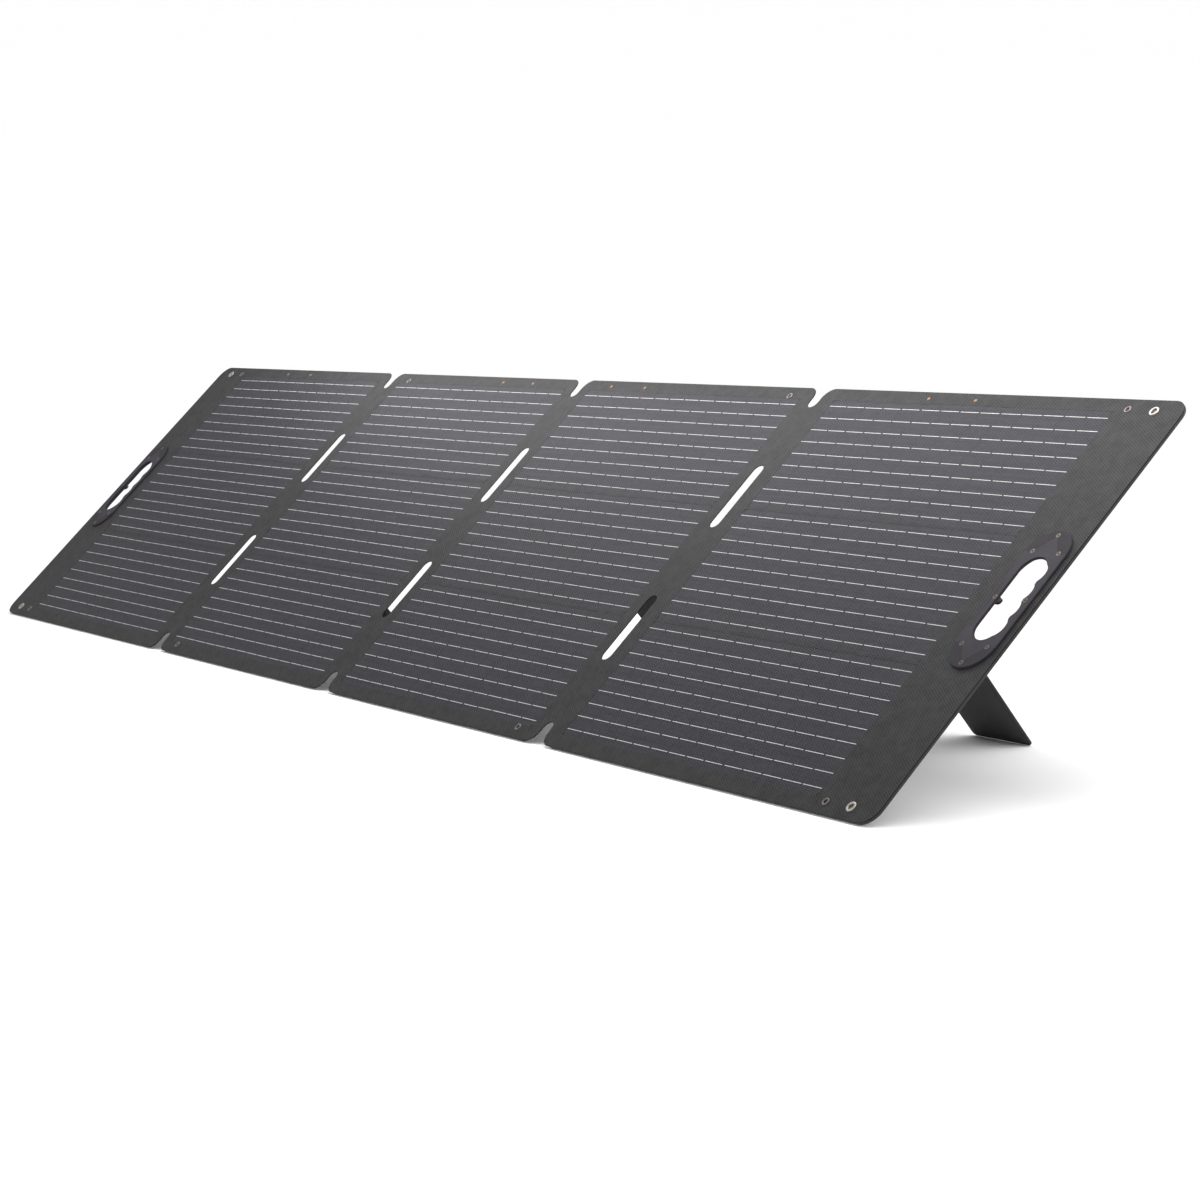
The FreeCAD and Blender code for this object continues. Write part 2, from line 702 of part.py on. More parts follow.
def junction_base():
    """The box's shell, open towards its lid, with a screw post in each corner."""
    shell = box_plate(0, box_low(), -THICK)
    shell = shell.cut(box_plate(BOX_WALL, box_low(), -THICK - BOX_WALL))
    posts = [rod(x, v, box_low(), -THICK - BOX_WALL, BOX_BOSS) for x, v in box_screw_places()]
    shell = shell.multiFuse(posts).removeSplitter()
    depth = BOX_SCREW_LENGTH
    holes = [
        rod(x, v, box_low(), box_low() + depth, BOX_SCREW_RADIUS + SCREW_PLAY)
        for x, v in box_screw_places()
    ]
    wall = BOX_V - BOX_WIDTH / 2
    holes.append(along_v(BOX_X, wall, wall + BOX_WALL + 1, socket_w(), SOCKET_RADIUS + FIT_PLAY))
    return shell.cut(join(holes))


def junction_lid():
    lid = box_plate(0, box_low() - BOX_LID, box_low())
    edges = [
        edge for edge in lid.Edges
        if abs(edge.BoundBox.ZMax - (box_low() - BOX_LID)) < 1e-6
    ]
    lid = lid.makeChamfer(1.0, edges)
    holes = []
    for x, v in box_screw_places():
        holes.append(rod(x, v, box_low() - BOX_LID, box_low(), BOX_SCREW_RADIUS + SCREW_PLAY))
        sink = box_low() - BOX_LID + BOX_SCREW_SINK
        holes.append(rod(x, v, box_low() - BOX_LID, sink, BOX_SCREW_HEAD + SCREW_PLAY))
    for hole in holes:
        lid = lid.cut(hole)
    return lid


def junction_screws():
    solids = []
    for x, v in box_screw_places():
        low = box_low() - BOX_LID + BOX_SCREW_IN
        sink = box_low() - BOX_LID + BOX_SCREW_SINK
        head = rod(x, v, low, sink, BOX_SCREW_HEAD)
        shank = rod(x, v, sink, box_low() + BOX_SCREW_LENGTH - 1, BOX_SCREW_RADIUS)
        drive = rod(x, v, low, low + BOX_SCREW_DRIVE, SCREW_SOCKET)
        solids.append(head.fuse(shank).cut(drive).removeSplitter())
    return solids


def output_socket():
    """Round power socket in the box's lower wall, with its collar and centre pin."""
    wall = BOX_V - BOX_WIDTH / 2
    w = socket_w()
    body = along_v(BOX_X, wall - SOCKET_COLLAR_THICK, wall + SOCKET_LENGTH, w, SOCKET_RADIUS)
    collar = along_v(BOX_X, wall - SOCKET_COLLAR_THICK, wall, w, SOCKET_COLLAR)
    bore_end = wall + SOCKET_LENGTH - 2
    bore = along_v(BOX_X, wall - SOCKET_COLLAR_THICK, bore_end, w, SOCKET_BORE)
    pin = along_v(BOX_X, wall, bore_end, w, SOCKET_PIN)
    barrel = body.fuse(collar).cut(bore)
    return barrel.fuse(pin).removeSplitter()


def circuit_board():
    """Small board with the blocking diode, standing on the floor of the box."""
    top = -THICK - BOX_WALL
    wall = BOX_V - BOX_WIDTH / 2
    low_v = wall + SOCKET_LENGTH + 1
    board = box(
        BOX_X - BOX_LENGTH / 2 + BOX_SCREW_INSET + CIRCUIT_INSET,
        BOX_X + BOX_LENGTH / 2 - BOX_SCREW_INSET - CIRCUIT_INSET,
        low_v, BOX_V + BOX_WIDTH / 2 - CIRCUIT_INSET,
        top - CIRCUIT_BOARD, top,
    )
    diode = box(
        BOX_X - DIODE_LENGTH / 2, BOX_X + DIODE_LENGTH / 2,
        low_v + CIRCUIT_INSET, low_v + CIRCUIT_INSET + DIODE_WIDTH,
        top - CIRCUIT_BOARD - DIODE_HEIGHT, top - CIRCUIT_BOARD,
    )
    return [board, diode]


# ---- assembly ------------------------------------------------------------------------------
def stand(shape):
    """Lean the flat drawing back and set it on the ground, centred on the origin."""
    placed = shape.copy()
    placed.rotate(Vector(0, 0, 0), Vector(1, 0, 0), TILT)
    placed.translate(Vector(-LENGTH / 2, -FOOT_BACK / 2, -GROUND))
    return placed


def write(name, solids):
    if not isinstance(solids, list):
        solids = [solids]
    loose = [solid for shape in solids for solid in shape.Solids]
    placed = [stand(solid) for solid in loose]
    shape = placed[0] if len(placed) == 1 else Part.makeCompound(placed)
    shape.exportStep(f"parts/{name}.step")
    bad = sum(not solid.isValid() for solid in placed)
    print(f"{name}: {len(placed)} solids, {shape.Volume / 1000:.2f} cm3, {bad} invalid")


def write_leaf(leaf):
    name = f"leaf_{leaf.number}"
    write(f"{name}_front_laminate", laminate(leaf))
    write(f"{name}_cell_strips", cell_strips(leaf))
    write(f"{name}_busbar_ribbons", busbar_ribbons(leaf))
    write(f"{name}_stiffener_board", leaf_board(leaf))
    write(f"{name}_back_cover", back_cover(leaf))
    write(f"{name}_terminals", terminals(leaf))
    write(f"{name}_magnet_buttons", magnet_buttons(leaf))
    write(f"{name}_leg_flap", leg_flap(leaf))
    write(f"leg_{leaf.number}_board", leg_board(leaf))
    write(f"leg_{leaf.number}_sleeve", leg_sleeve(leaf))


def write_handle(leaf, side):
    x = leaf.from_end(HANDLE_FROM_END)
    write(f"handle_{side}_front_plate", handle_front(x))
    write(f"handle_{side}_back_plate", handle_back(x))
    write(f"handle_{side}_screws", handle_screws(x))
    write(f"leaf_{leaf.number}_eyelets", eyelets(leaf))


def write_hinges():
    touching = SLOT_HALF
    free = SLOT_HALF - WEB_CLEAR
    middle = SLOT_HALF - WEB_CREASE + WEB_CLEAR
    reaches = {"12": (free, touching), "23": (middle, middle), "34": (touching, free)}
    for hinge, (name, (left, right)) in zip(HINGES, reaches.items()):
        write(f"hinge_{name}_web", hinge_web(hinge, left, right))
        inner = POCKET_PLAY
        conductors = hinge_conductors(hinge, left - inner, right - inner)
        write(f"hinge_{name}_conductors", conductors)


def write_junction_box():
    write("junction_box_base", junction_base())
    write("junction_box_lid", junction_lid())
    write("junction_box_screws", junction_screws())
    write("junction_box_circuit", circuit_board())
    write("output_socket", output_socket())


def main():
    for leaf in LEAVES:
        write_leaf(leaf)
    write_handle(LEAVES[0], "left")
    write_handle(LEAVES[3], "right")
    write_hinges()
    write_junction_box()
    print(f"length {LENGTH:.1f}, depth {FOOT_BACK:.2f}, leg reach {LEG_REACH:.2f}")
    print(f"leg axis w {LEG_AXIS_W:.3f}, ground {GROUND:.4f}, cells wide {CELLS_WIDE:.1f}")


main()
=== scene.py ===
# %% [markdown]
# # A folding solar panel for a camp
# Four leaves stand open in a row, leaning back on four flap legs. Each leaf is a sandwich: an
# embossed film face with the cells pressed under it, a stiff board, and cloth over the back.
# The sizes and the moving parts come from the finished mechanical model, which is loaded first
# and never changed. What Blender adds is everything soft or too fine for that model: cloth,
# seams, stitches, the broken lines on the cells, and every finish.

# %% Load the mechanical model
import json
import math

import bmesh
import bpy
from mathutils import Matrix, Quaternion, Vector, noise
from mathutils.geometry import delaunay_2d_cdt


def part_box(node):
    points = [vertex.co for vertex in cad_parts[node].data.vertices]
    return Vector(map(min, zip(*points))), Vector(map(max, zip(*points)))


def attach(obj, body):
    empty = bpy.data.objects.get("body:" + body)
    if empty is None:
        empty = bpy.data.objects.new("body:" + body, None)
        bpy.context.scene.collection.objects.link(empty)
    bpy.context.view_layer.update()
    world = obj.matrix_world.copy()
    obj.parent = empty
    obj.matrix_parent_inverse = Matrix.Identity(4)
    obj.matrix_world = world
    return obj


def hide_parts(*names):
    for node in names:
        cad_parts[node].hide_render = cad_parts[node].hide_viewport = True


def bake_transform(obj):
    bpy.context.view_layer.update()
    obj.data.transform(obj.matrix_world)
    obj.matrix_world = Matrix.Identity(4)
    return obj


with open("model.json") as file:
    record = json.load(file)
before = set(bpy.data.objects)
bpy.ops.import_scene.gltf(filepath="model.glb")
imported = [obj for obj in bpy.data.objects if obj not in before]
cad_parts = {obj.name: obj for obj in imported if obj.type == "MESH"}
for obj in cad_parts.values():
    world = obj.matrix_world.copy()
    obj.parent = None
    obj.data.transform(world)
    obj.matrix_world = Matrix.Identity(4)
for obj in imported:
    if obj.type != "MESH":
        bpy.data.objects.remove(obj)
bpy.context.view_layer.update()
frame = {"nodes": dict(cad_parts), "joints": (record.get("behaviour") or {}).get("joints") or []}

# %% [markdown]
# The open panel leans, so its pieces are awkward to place in upright coordinates. The step below
# finds the lean from the axis of the first fold, and gives a function that turns millimetres
# along the panel (x), up a leaf (v) and out of its face (w) into a point in the scene. Every
# later piece is drawn in those three numbers, as if the panel lay flat on a table.

# %% A flat drawing board that leans with the panel
MM = 0.001
LAMINATE = 1.0               # film face with its backing, in mm
THICK = 4.6                  # whole leaf
LEAF_HEIGHT = 540.0

joints = {joint["name"]: joint for joint in frame["joints"]}
ALONG = Vector((1, 0, 0))
UP = Vector(joints["fold_12"]["axis"]).normalized()
OUT = Vector((0, -UP.z, UP.y))
first_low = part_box("leaf_1_front_laminate")[0]
CORNER = Vector((first_low.x, first_low.y, first_low.z + LAMINATE * MM * OUT.z))
LEAN = math.atan2(UP.z, UP.y)


def at(x, v, w):
    """A point of the open panel, from millimetres along it, up the leaf and out of its face."""
    return CORNER + (ALONG * x + UP * v + OUT * w) * MM


def along(point_x):
    """Millimetres along the panel of a scene x."""
    return (point_x - CORNER.x) / MM


def span(node):
    """Where a piece of the model starts and ends along the panel, in mm."""
    low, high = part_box(node)
    return along(low.x), along(high.x)


spans = [span(f"leaf_{number}_front_laminate") for number in (1, 2, 3, 4)]
HINGES = [(left[1] + right[0]) / 2 for left, right in zip(spans, spans[1:])]
LEAF_ENDS = [0.0] + HINGES + [spans[-1][1]]
print("lean", round(math.degrees(LEAN), 2), "leaf ends", [round(x, 1) for x in LEAF_ENDS])

# %% [markdown]
# Colours are written the way a colour chart gives them, as sRGB hex values, but a shader works in
# linear light. One function converts them. Another adds a shader node: it sets the node's own
# settings, fills its inputs, and links an input when it is given another node's output.

# %% Helpers for finishes
def linear(code):
    """An sRGB hex colour as the linear colour that a shader needs."""
    parts = [int(code[i:i + 2], 16) / 255 for i in (0, 2, 4)]
    light = [p / 12.92 if p <= 0.04045 else ((p + 0.055) / 1.055) ** 2.4 for p in parts]
    return *light, 1.0


def add(tree, kind, inputs=None, **settings):
    """Adds a node with its settings. An input is a plain value or another node's output."""
    made = tree.nodes.new(kind)
    for name, value in settings.items():
        setattr(made, name, value)
    for name, value in (inputs or {}).items():
        if isinstance(value, bpy.types.NodeSocket):
            tree.links.new(value, made.inputs[name])
        else:
            made.inputs[name].default_value = value
    return made


def new_finish(name, colour, roughness, **sockets):
    """A material with one shader, whose plain values are set on the shader's own sockets."""
    finish = bpy.data.materials.new(name)
    finish.use_nodes = True
    tree = finish.node_tree
    tree.nodes.clear()
    values = {"Base Color": linear(colour), "Roughness": roughness}
    for socket, value in sockets.items():
        values[socket.replace("_", " ")] = value
    shader = add(tree, "ShaderNodeBsdfPrincipled", values)
    add(tree, "ShaderNodeOutputMaterial", {"Surface": shader.outputs[0]})
    finish.diffuse_color = linear(colour)
    return finish, tree, shader


def drive(shader, **sockets):
    """Links other nodes' outputs to the shader's own sockets."""
    for socket, output in sockets.items():
        shader.id_data.links.new(output, shader.inputs[socket.replace("_", " ")])


def lying(tree, lean):
    """Coordinates in metres that lie in a leaning plane: x along it, y up it, z out of it."""
    place = add(tree, "ShaderNodeTexCoord")
    return add(
        tree, "ShaderNodeMapping",
        {"Vector": place.outputs["Object"], "Rotation": (-lean, 0, 0)},
    ).outputs["Vector"]


def waves(tree, place, pitch, cross_pitch):
    """Crossed ripples of these pitches in mm, as a height from -1 to 1."""
    turns = (2 * math.pi / (pitch * MM), 2 * math.pi / (cross_pitch * MM), 0)
    wound = add(tree, "ShaderNodeVectorMath", {0: place, 1: turns}, operation="MULTIPLY")
    split = add(tree, "ShaderNodeSeparateXYZ", {0: wound.outputs[0]})
    one = add(tree, "ShaderNodeMath", {0: split.outputs["X"]}, operation="SINE")
    other = add(tree, "ShaderNodeMath", {0: split.outputs["Y"]}, operation="SINE")
    crossed = {0: one.outputs[0], 1: other.outputs[0]}
    return add(tree, "ShaderNodeMath", crossed, operation="MULTIPLY").outputs[0]


finishes = {}

# %% [markdown]
# ## Embossed film
# The whole front is one sheet of ETFE, a fluoropolymer film. It is pressed hot against a woven
# release cloth, so it takes a fine canvas pattern that scatters the sun's glare. The film is clear
# and what shows is a dark grey backing through it: matte, with a soft sheen at low angles. The
# pattern could be a picture, but a picture repeats and blurs close up. Two sine waves at right
# angles give the same crossed threads at any distance. The real pitch is about 1 mm, which is
# under what a view of the whole panel can show, so it is drawn at 3.0 by 5.4 mm, and a fine noise
# breaks the threads up where the pressure was uneven.

# %% Embossed film over a dark backing, and over the cells
EMBOSS_PITCH = 3.0           # up the leaf, in mm
EMBOSS_CROSS_PITCH = 5.4     # along the panel
FILM_IOR = 1.40              # ETFE
UNEVEN = 0.35                # how far uneven pressure shifts the height, against the threads' 1
WEAVE_SHARE = 0.45           # of the weave in the colour, against the cloudiness' 1


def embossed(name, dark, light, roughness, streaks):
    """Film over a backing that runs from dark to light with the weave and its cloudiness.

    Streaks are how many clouds there are to a metre along, up and out of the leaf.
    """
    finish, tree, shader = new_finish(name, light, roughness, IOR=FILM_IOR, Specular_IOR_Level=0.16)
    place = lying(tree, LEAN)
    threads = waves(tree, place, EMBOSS_CROSS_PITCH, EMBOSS_PITCH)
    pressed = add(
        tree, "ShaderNodeTexNoise",
        {"Vector": place, "Scale": 0.45 / (EMBOSS_PITCH * MM), "Detail": 3.0, "Roughness": 0.7},
    )
    uneven = add(
        tree, "ShaderNodeMapRange",
        {
            "Value": pressed.outputs["Fac"], "From Min": 0.3, "From Max": 0.7,
            "To Min": -UNEVEN, "To Max": UNEVEN,
        },
    )
    summed = add(tree, "ShaderNodeMath", {0: threads, 1: uneven.outputs[0]}, operation="ADD")
    weave = summed.outputs[0]
    stretched = add(tree, "ShaderNodeMapping", {"Vector": place, "Scale": streaks})
    cloud = add(
        tree, "ShaderNodeTexNoise",
        {"Vector": stretched.outputs[0], "Scale": 1.0, "Detail": 4.0, "Roughness": 0.6},
    )
    lifted = add(
        tree, "ShaderNodeMath",
        {0: weave, 1: WEAVE_SHARE, 2: cloud.outputs["Fac"]},
        operation="MULTIPLY_ADD",
    )
    spread = add(
        tree, "ShaderNodeMapRange",
        {"Value": lifted.outputs[0], "From Min": 0.1, "From Max": 0.9},
    )
    shades = {"Factor": spread.outputs[0], "A": linear(dark), "B": linear(light)}
    tint = add(tree, "ShaderNodeMix", shades, data_type="RGBA")
    ripple = add(tree, "ShaderNodeTexNoise", {"Vector": place, "Scale": 14.0, "Detail": 2.0})
    broad = add(
        tree, "ShaderNodeBump",
        {"Height": ripple.outputs["Fac"], "Strength": 0.06, "Distance": 2 * MM},
    )
    fine = add(
        tree, "ShaderNodeBump",
        {"Height": weave, "Strength": 0.6, "Distance": 0.2 * MM, "Normal": broad.outputs[0]},
    )
    # Painted shade: faces that do not face out of the leaf, such as its cut edges, are mixed
    # towards near black.
    surface = add(tree, "ShaderNodeTexCoord")
    facing = add(
        tree, "ShaderNodeVectorMath",
        {0: surface.outputs["Normal"], 1: tuple(OUT)},
        operation="DOT_PRODUCT",
    )
    painted_edge_shade_mask = add(
        tree, "ShaderNodeMapRange",
        {"Value": facing.outputs["Value"], "From Min": 0.2, "From Max": 0.6},
    )
    # Near black here is painted shade on the edges, not the film's own colour.
    shades = {"Factor": painted_edge_shade_mask.outputs[0], "A": linear("0c0c0d"), "B": tint.outputs[2]}
    painted_edge_shade = add(tree, "ShaderNodeMix", shades, data_type="RGBA")
    drive(shader, Base_Color=painted_edge_shade.outputs[2], Normal=fine.outputs[0])
    return finish


finishes["film"] = embossed("embossed_film_dark_backing", "1a1a1a", "333334", 0.58, (60, 60, 60))
finishes["cells"] = embossed("embossed_film_over_silicon", "1b1a1f", "343339", 0.55, (9, 420, 60))
print("film drawn at a pitch of", EMBOSS_PITCH, "by", EMBOSS_CROSS_PITCH, "mm")

# %% [markdown]
# ## Tinned ribbon
# Thin copper ribbons dipped in tin collect the current from each strip of silicon. Tin is a dull
# white metal, and under the embossed film it looks like a pale thread. The film breaks its shine
# up, which a noise in the roughness and colour shows.

# %% Tinned ribbon under film
finish, tree, shader = new_finish("tinned_ribbon_under_film", "b3afb0", 0.55, Metallic=0.4)
place = lying(tree, LEAN)
glint = add(tree, "ShaderNodeTexNoise", {"Vector": place, "Scale": 260.0, "Detail": 3.0})
shades = {"Factor": glint.outputs["Fac"], "A": linear("8f8b8c"), "B": linear("dedada")}
tint = add(tree, "ShaderNodeMix", shades, data_type="RGBA")
dulled = add(
    tree, "ShaderNodeMapRange",
    {"Value": glint.outputs["Fac"], "To Min": 0.35, "To Max": 0.65},
)
drive(shader, Base_Color=tint.outputs[2], Roughness=dulled.outputs[0])
finishes["ribbon"] = finish

# %% [markdown]
# ## Woven cloth
# The backs, the legs and the sewn flaps are polyester woven from thick flat yarn and coated on the
# inside. The yarns pass over and under each other, so the height is a checker of small humps, one
# for each crossing. Two crossed sine waves make it again, with a wider pitch and a deeper bump than
# the film. Polyester has a faint sheen, and dust and handling leave it a little cloudy. The yarn is
# 0.6 mm apart in the cloth and drawn at 1.3 mm so that it shows.

# %% Woven polyester, for surfaces that lie with the leaves and with the legs
YARN_PITCH = 1.3
LEG_OPEN = 85.0              # degrees from stowed to open
LEG_LEAN = LEAN + math.radians(LEG_OPEN)


def woven(name, lean, dark, light):
    finish, tree, shader = new_finish(
        name, light, 0.86, IOR=1.5, Sheen_Weight=0.12, Sheen_Roughness=0.5,
    )
    place = lying(tree, lean)
    weave = waves(tree, place, YARN_PITCH, YARN_PITCH)
    cloud = add(tree, "ShaderNodeTexNoise", {"Vector": place, "Scale": 24.0, "Detail": 5.0})
    lifted = add(
        tree, "ShaderNodeMath",
        {0: weave, 1: 0.22, 2: cloud.outputs["Fac"]},
        operation="MULTIPLY_ADD",
    )
    shades = {"Factor": lifted.outputs[0], "A": linear(dark), "B": linear(light)}
    tint = add(tree, "ShaderNodeMix", shades, data_type="RGBA")
    raised = add(tree, "ShaderNodeBump", {"Height": weave, "Strength": 0.7, "Distance": 0.2 * MM})
    drive(shader, Base_Color=tint.outputs[2], Normal=raised.outputs[0])
    return finish


# The leaf's copy of the cloth is darker than the leg's, though both are the same polyester: painted
# shade for the cloth turned round the leaves' side edges.
finishes["cloth"] = woven("woven_polyester_leaf_painted_shade", LEAN, "0f0f10", "1f1f20")
finishes["leg_cloth"] = woven("woven_polyester_leg", LEG_LEAN, "1c1c1d", "303032")

# %% [markdown]
# ## Thread
# Bonded nylon thread is twisted, slightly glossy and a shade lighter than the cloth it holds.
# A fast diagonal wave gives the twist.

# %% Sewing thread
finish, tree, shader = new_finish("bonded_nylon_thread", "3d3d40", 0.55, IOR=1.53, Sheen_Weight=0.2)
place = lying(tree, LEAN)
twist = waves(tree, place, 0.9, 0.9)
shades = {"Factor": twist, "A": linear("37373a"), "B": linear("55555a")}
tint = add(tree, "ShaderNodeMix", shades, data_type="RGBA")
drive(shader, Base_Color=tint.outputs[2])
finishes["thread"] = finish

# %% [markdown]
# ## Moulded plastics
# The handles are glass-filled nylon from a spark-eroded mould: a fine even grain that a smooth
# noise bump gives, with low broad highlights. The junction box is ABS with a coarser grain. Worn
# edges look lighter on both, because fingers polish the grain down. Geometry's Pointiness finds
# edges, and it stays with the surface in every view.

# %% Moulded nylon, ABS and the socket's plastic
def moulded(name, colour, worn, grain, depth, roughness, ior):
    """Grain is the spacing of the mould's texture in mm, and depth its height in mm."""
    finish, tree, shader = new_finish(name, colour, roughness, IOR=ior, Specular_IOR_Level=0.12)
    place = lying(tree, LEAN)
    spark = add(
        tree, "ShaderNodeTexNoise",
        {"Vector": place, "Scale": 1 / (grain * MM), "Detail": 2.0, "Roughness": 0.6},
    )
    raised = add(
        tree, "ShaderNodeBump",
        {"Height": spark.outputs["Fac"], "Strength": 0.5, "Distance": depth * MM},
    )
    shape = add(tree, "ShaderNodeNewGeometry")
    edge = add(
        tree, "ShaderNodeMapRange",
        {"Value": shape.outputs["Pointiness"], "From Min": 0.52, "From Max": 0.62},
    )
    smudge = add(tree, "ShaderNodeTexNoise", {"Vector": place, "Scale": 45.0, "Detail": 4.0})
    rubbed = {0: edge.outputs[0], 1: smudge.outputs["Fac"]}
    wear = add(tree, "ShaderNodeMath", rubbed, operation="MULTIPLY")
    shades = {"Factor": wear.outputs[0], "A": linear(colour), "B": linear(worn)}
    tint = add(tree, "ShaderNodeMix", shades, data_type="RGBA")
    gloss = add(
        tree, "ShaderNodeMapRange",
        {"Value": smudge.outputs["Fac"], "To Min": roughness - 0.06, "To Max": roughness + 0.08},
    )
    drive(
        shader, Base_Color=tint.outputs[2], Normal=raised.outputs[0], Roughness=gloss.outputs[0],
    )
    return finish


finishes["nylon"] = moulded("moulded_glass_filled_nylon", "19161b", "3a363e", 0.9, 0.05, 0.6, 1.53)
finishes["abs"] = moulded("moulded_abs", "1d1d1f", "3a3a3d", 1.4, 0.08, 0.48, 1.54)
finishes["socket"] = moulded("moulded_socket_plastic", "121213", "2c2c2e", 1.0, 0.03, 0.34, 1.54)

# %% [markdown]
# ## Metals
# Eyelets and magnet rings are brass with nickel plate, the terminals are bare copper that
# has dulled, and the screws are blackened steel whose heads show a warm glint where the driver has
# rubbed the black off. A metal's colour is its reflection, so each has a metallic value of 1 and a
# colour of its own, and fine scratches vary its roughness.

# %% Plated and bare metals
def metal(name, dull, bright, roughness, scratch):
    """Scratch is the spacing of the fine marks in mm."""
    finish, tree, shader = new_finish(name, bright, roughness, Metallic=1.0)
    place = lying(tree, LEAN)
    long_marks = add(tree, "ShaderNodeMapping", {"Vector": place, "Scale": (1, 6, 1)})
    marks = add(
        tree, "ShaderNodeTexNoise",
        {"Vector": long_marks.outputs[0], "Scale": 1 / (scratch * MM), "Detail": 5.0},
    )
    shades = {"Factor": marks.outputs["Fac"], "A": linear(dull), "B": linear(bright)}
    tint = add(tree, "ShaderNodeMix", shades, data_type="RGBA")
    gloss = add(
        tree, "ShaderNodeMapRange",
        {"Value": marks.outputs["Fac"], "To Min": roughness * 0.6, "To Max": roughness * 1.4},
    )
    drive(shader, Base_Color=tint.outputs[2], Roughness=gloss.outputs[0])
    return finish


finishes["nickel"] = metal("bright_nickel_plate", "7d7872", "b9b3ab", 0.35, 3.0)
finishes["ring"] = metal("worn_nickel_ring", "4a4443", "7f7674", 0.35, 2.0)
finishes["magnet"] = metal("blackened_magnet", "161517", "2c2a2d", 0.5, 2.0)
finishes["copper"] = metal("dulled_copper", "6d4e3a", "96705a", 0.5, 2.0)
finishes["screw"] = metal("blackened_steel", "161514", "6b6257", 0.4, 1.2)

# %% [markdown]
# ## Hidden boards
# The leaf stiffeners are pressed fibre, and the junction box holds a green glass-fibre circuit.
# Neither shows from outside, but the model can be opened up, so each gets its own finish:
# short random fibres for one, a lacquered cloth weave for the other.

# %% Fibre board and circuit board
def board(name, dark, light, grain, roughness):
    finish, tree, shader = new_finish(name, light, roughness)
    place = lying(tree, LEAN)
    flecks = add(tree, "ShaderNodeMapping", {"Vector": place, "Scale": (1, 3, 1)})
    fibre = add(
        tree, "ShaderNodeTexNoise",
        {"Vector": flecks.outputs[0], "Scale": 1 / (grain * MM), "Detail": 6.0},
    )
    shades = {"Factor": fibre.outputs["Fac"], "A": linear(dark), "B": linear(light)}
    tint = add(tree, "ShaderNodeMix", shades, data_type="RGBA")
    raised = add(
        tree, "ShaderNodeBump",
        {"Height": fibre.outputs["Fac"], "Strength": 0.3, "Distance": 0.1 * MM},
    )
    drive(shader, Base_Color=tint.outputs[2], Normal=raised.outputs[0])
    return finish


finishes["fibre"] = board("pressed_fibre_board", "2b2724", "413b35", 4.0, 0.8)
finishes["circuit"] = board("lacquered_glass_fibre", "123c22", "1f5a34", 1.0, 0.35)
print(len(finishes), "finishes")

# %% [markdown]
# ## Finishes on the model's own pieces
# The hard pieces of the mechanical model already have their true shape, so they stay as they are
# and only take a finish. The soft ones are replaced further down.

# %% Give the hard pieces their finishes
HARD = {
    "_front_laminate": "film",
    "_cell_strips": "cells",
    "_terminals": "copper",
    "_magnet_buttons": "ring",
    "_eyelets": "nickel",
    "_front_plate": "nylon",
    "_back_plate": "nylon",
    "_screws": "screw",
    "_board": "fibre",
    "box_base": "abs",
    "box_lid": "abs",
    "box_circuit": "circuit",
    "output_socket": "socket",
}
for name, node in frame["nodes"].items():
    found = (finishes[kind] for ending, kind in HARD.items() if name.endswith(ending))
    finish = next(found, finishes["cloth"])
    node.data.materials.clear()
    node.data.materials.append(finish)
print(len(frame["nodes"]), "pieces of the model have a finish")

# %% [markdown]
# ## Meshes from outlines
# Cloth over a board, a sleeve or a sewn flap all start from the same thing: an outline with rounded
# corners, repeated further and further in while its height changes, like contour lines. Joining
# the lines gives a rounded edge, a groove where the seam pulls down, and a flat middle. A bevel
# modifier could round the edge but not sink the seam, so the lines are built directly.

# %% Outlines and the mesh between them
def rounded(corners, radii, inset, like=None, spacing=14.0, steps=7):
    """A closed line round an anticlockwise outline, set in, with the same points at every inset."""
    count = len(corners)
    arcs = []
    for i in range(count):
        before, corner, after = (Vector(corners[(i + k) % count]) for k in (-1, 0, 1))
        into, away = (corner - before).normalized(), (after - corner).normalized()
        left_in, left_out = Vector((-into.y, into.x)), Vector((-away.y, away.x))
        middle = (left_in + left_out).normalized()
        half = math.acos(max(-1.0, min(1.0, middle.dot(left_in))))
        radius = max(radii[i] - inset, 0.4)
        centre = corner + middle * ((inset + radius) / math.cos(half))
        start = math.atan2(-left_in.y, -left_in.x)
        turns = [start + 2 * half * k / steps for k in range(steps + 1)]
        arcs.append([centre + Vector((math.cos(turn), math.sin(turn))) * radius for turn in turns])
    points = []
    sides = [(arcs[i][-1], arcs[(i + 1) % count][0]) for i in range(count)]
    counts = like or [max(1, math.ceil((end - start).length / spacing)) for start, end in sides]
    for arc, (start, end), pieces in zip(arcs, sides, counts):
        points += arc
        points += [start.lerp(end, k / pieces) for k in range(1, pieces)]
    return points, counts


def contours(corners, radii, profile, spacing=14.0):
    """Outlines at each (inset, height) of a profile, all with the same number of points."""
    lines, counts = [], None
    for inset, height in profile:
        line, counts = rounded(corners, radii, inset, counts, spacing)
        lines.append([(p.x, p.y, height) for p in line])
    return lines


def join_lines(lines, first=0):
    """Faces between lines of equal length, whose points are numbered from first."""
    size = len(lines[0])
    faces = []
    for row in range(len(lines) - 1):
        low, high = first + row * size, first + (row + 1) * size
        for i in range(size):
            j = (i + 1) % size
            faces.append((low + i, low + j, high + j, high + i))
    return faces


HOLE_SIDES = 48


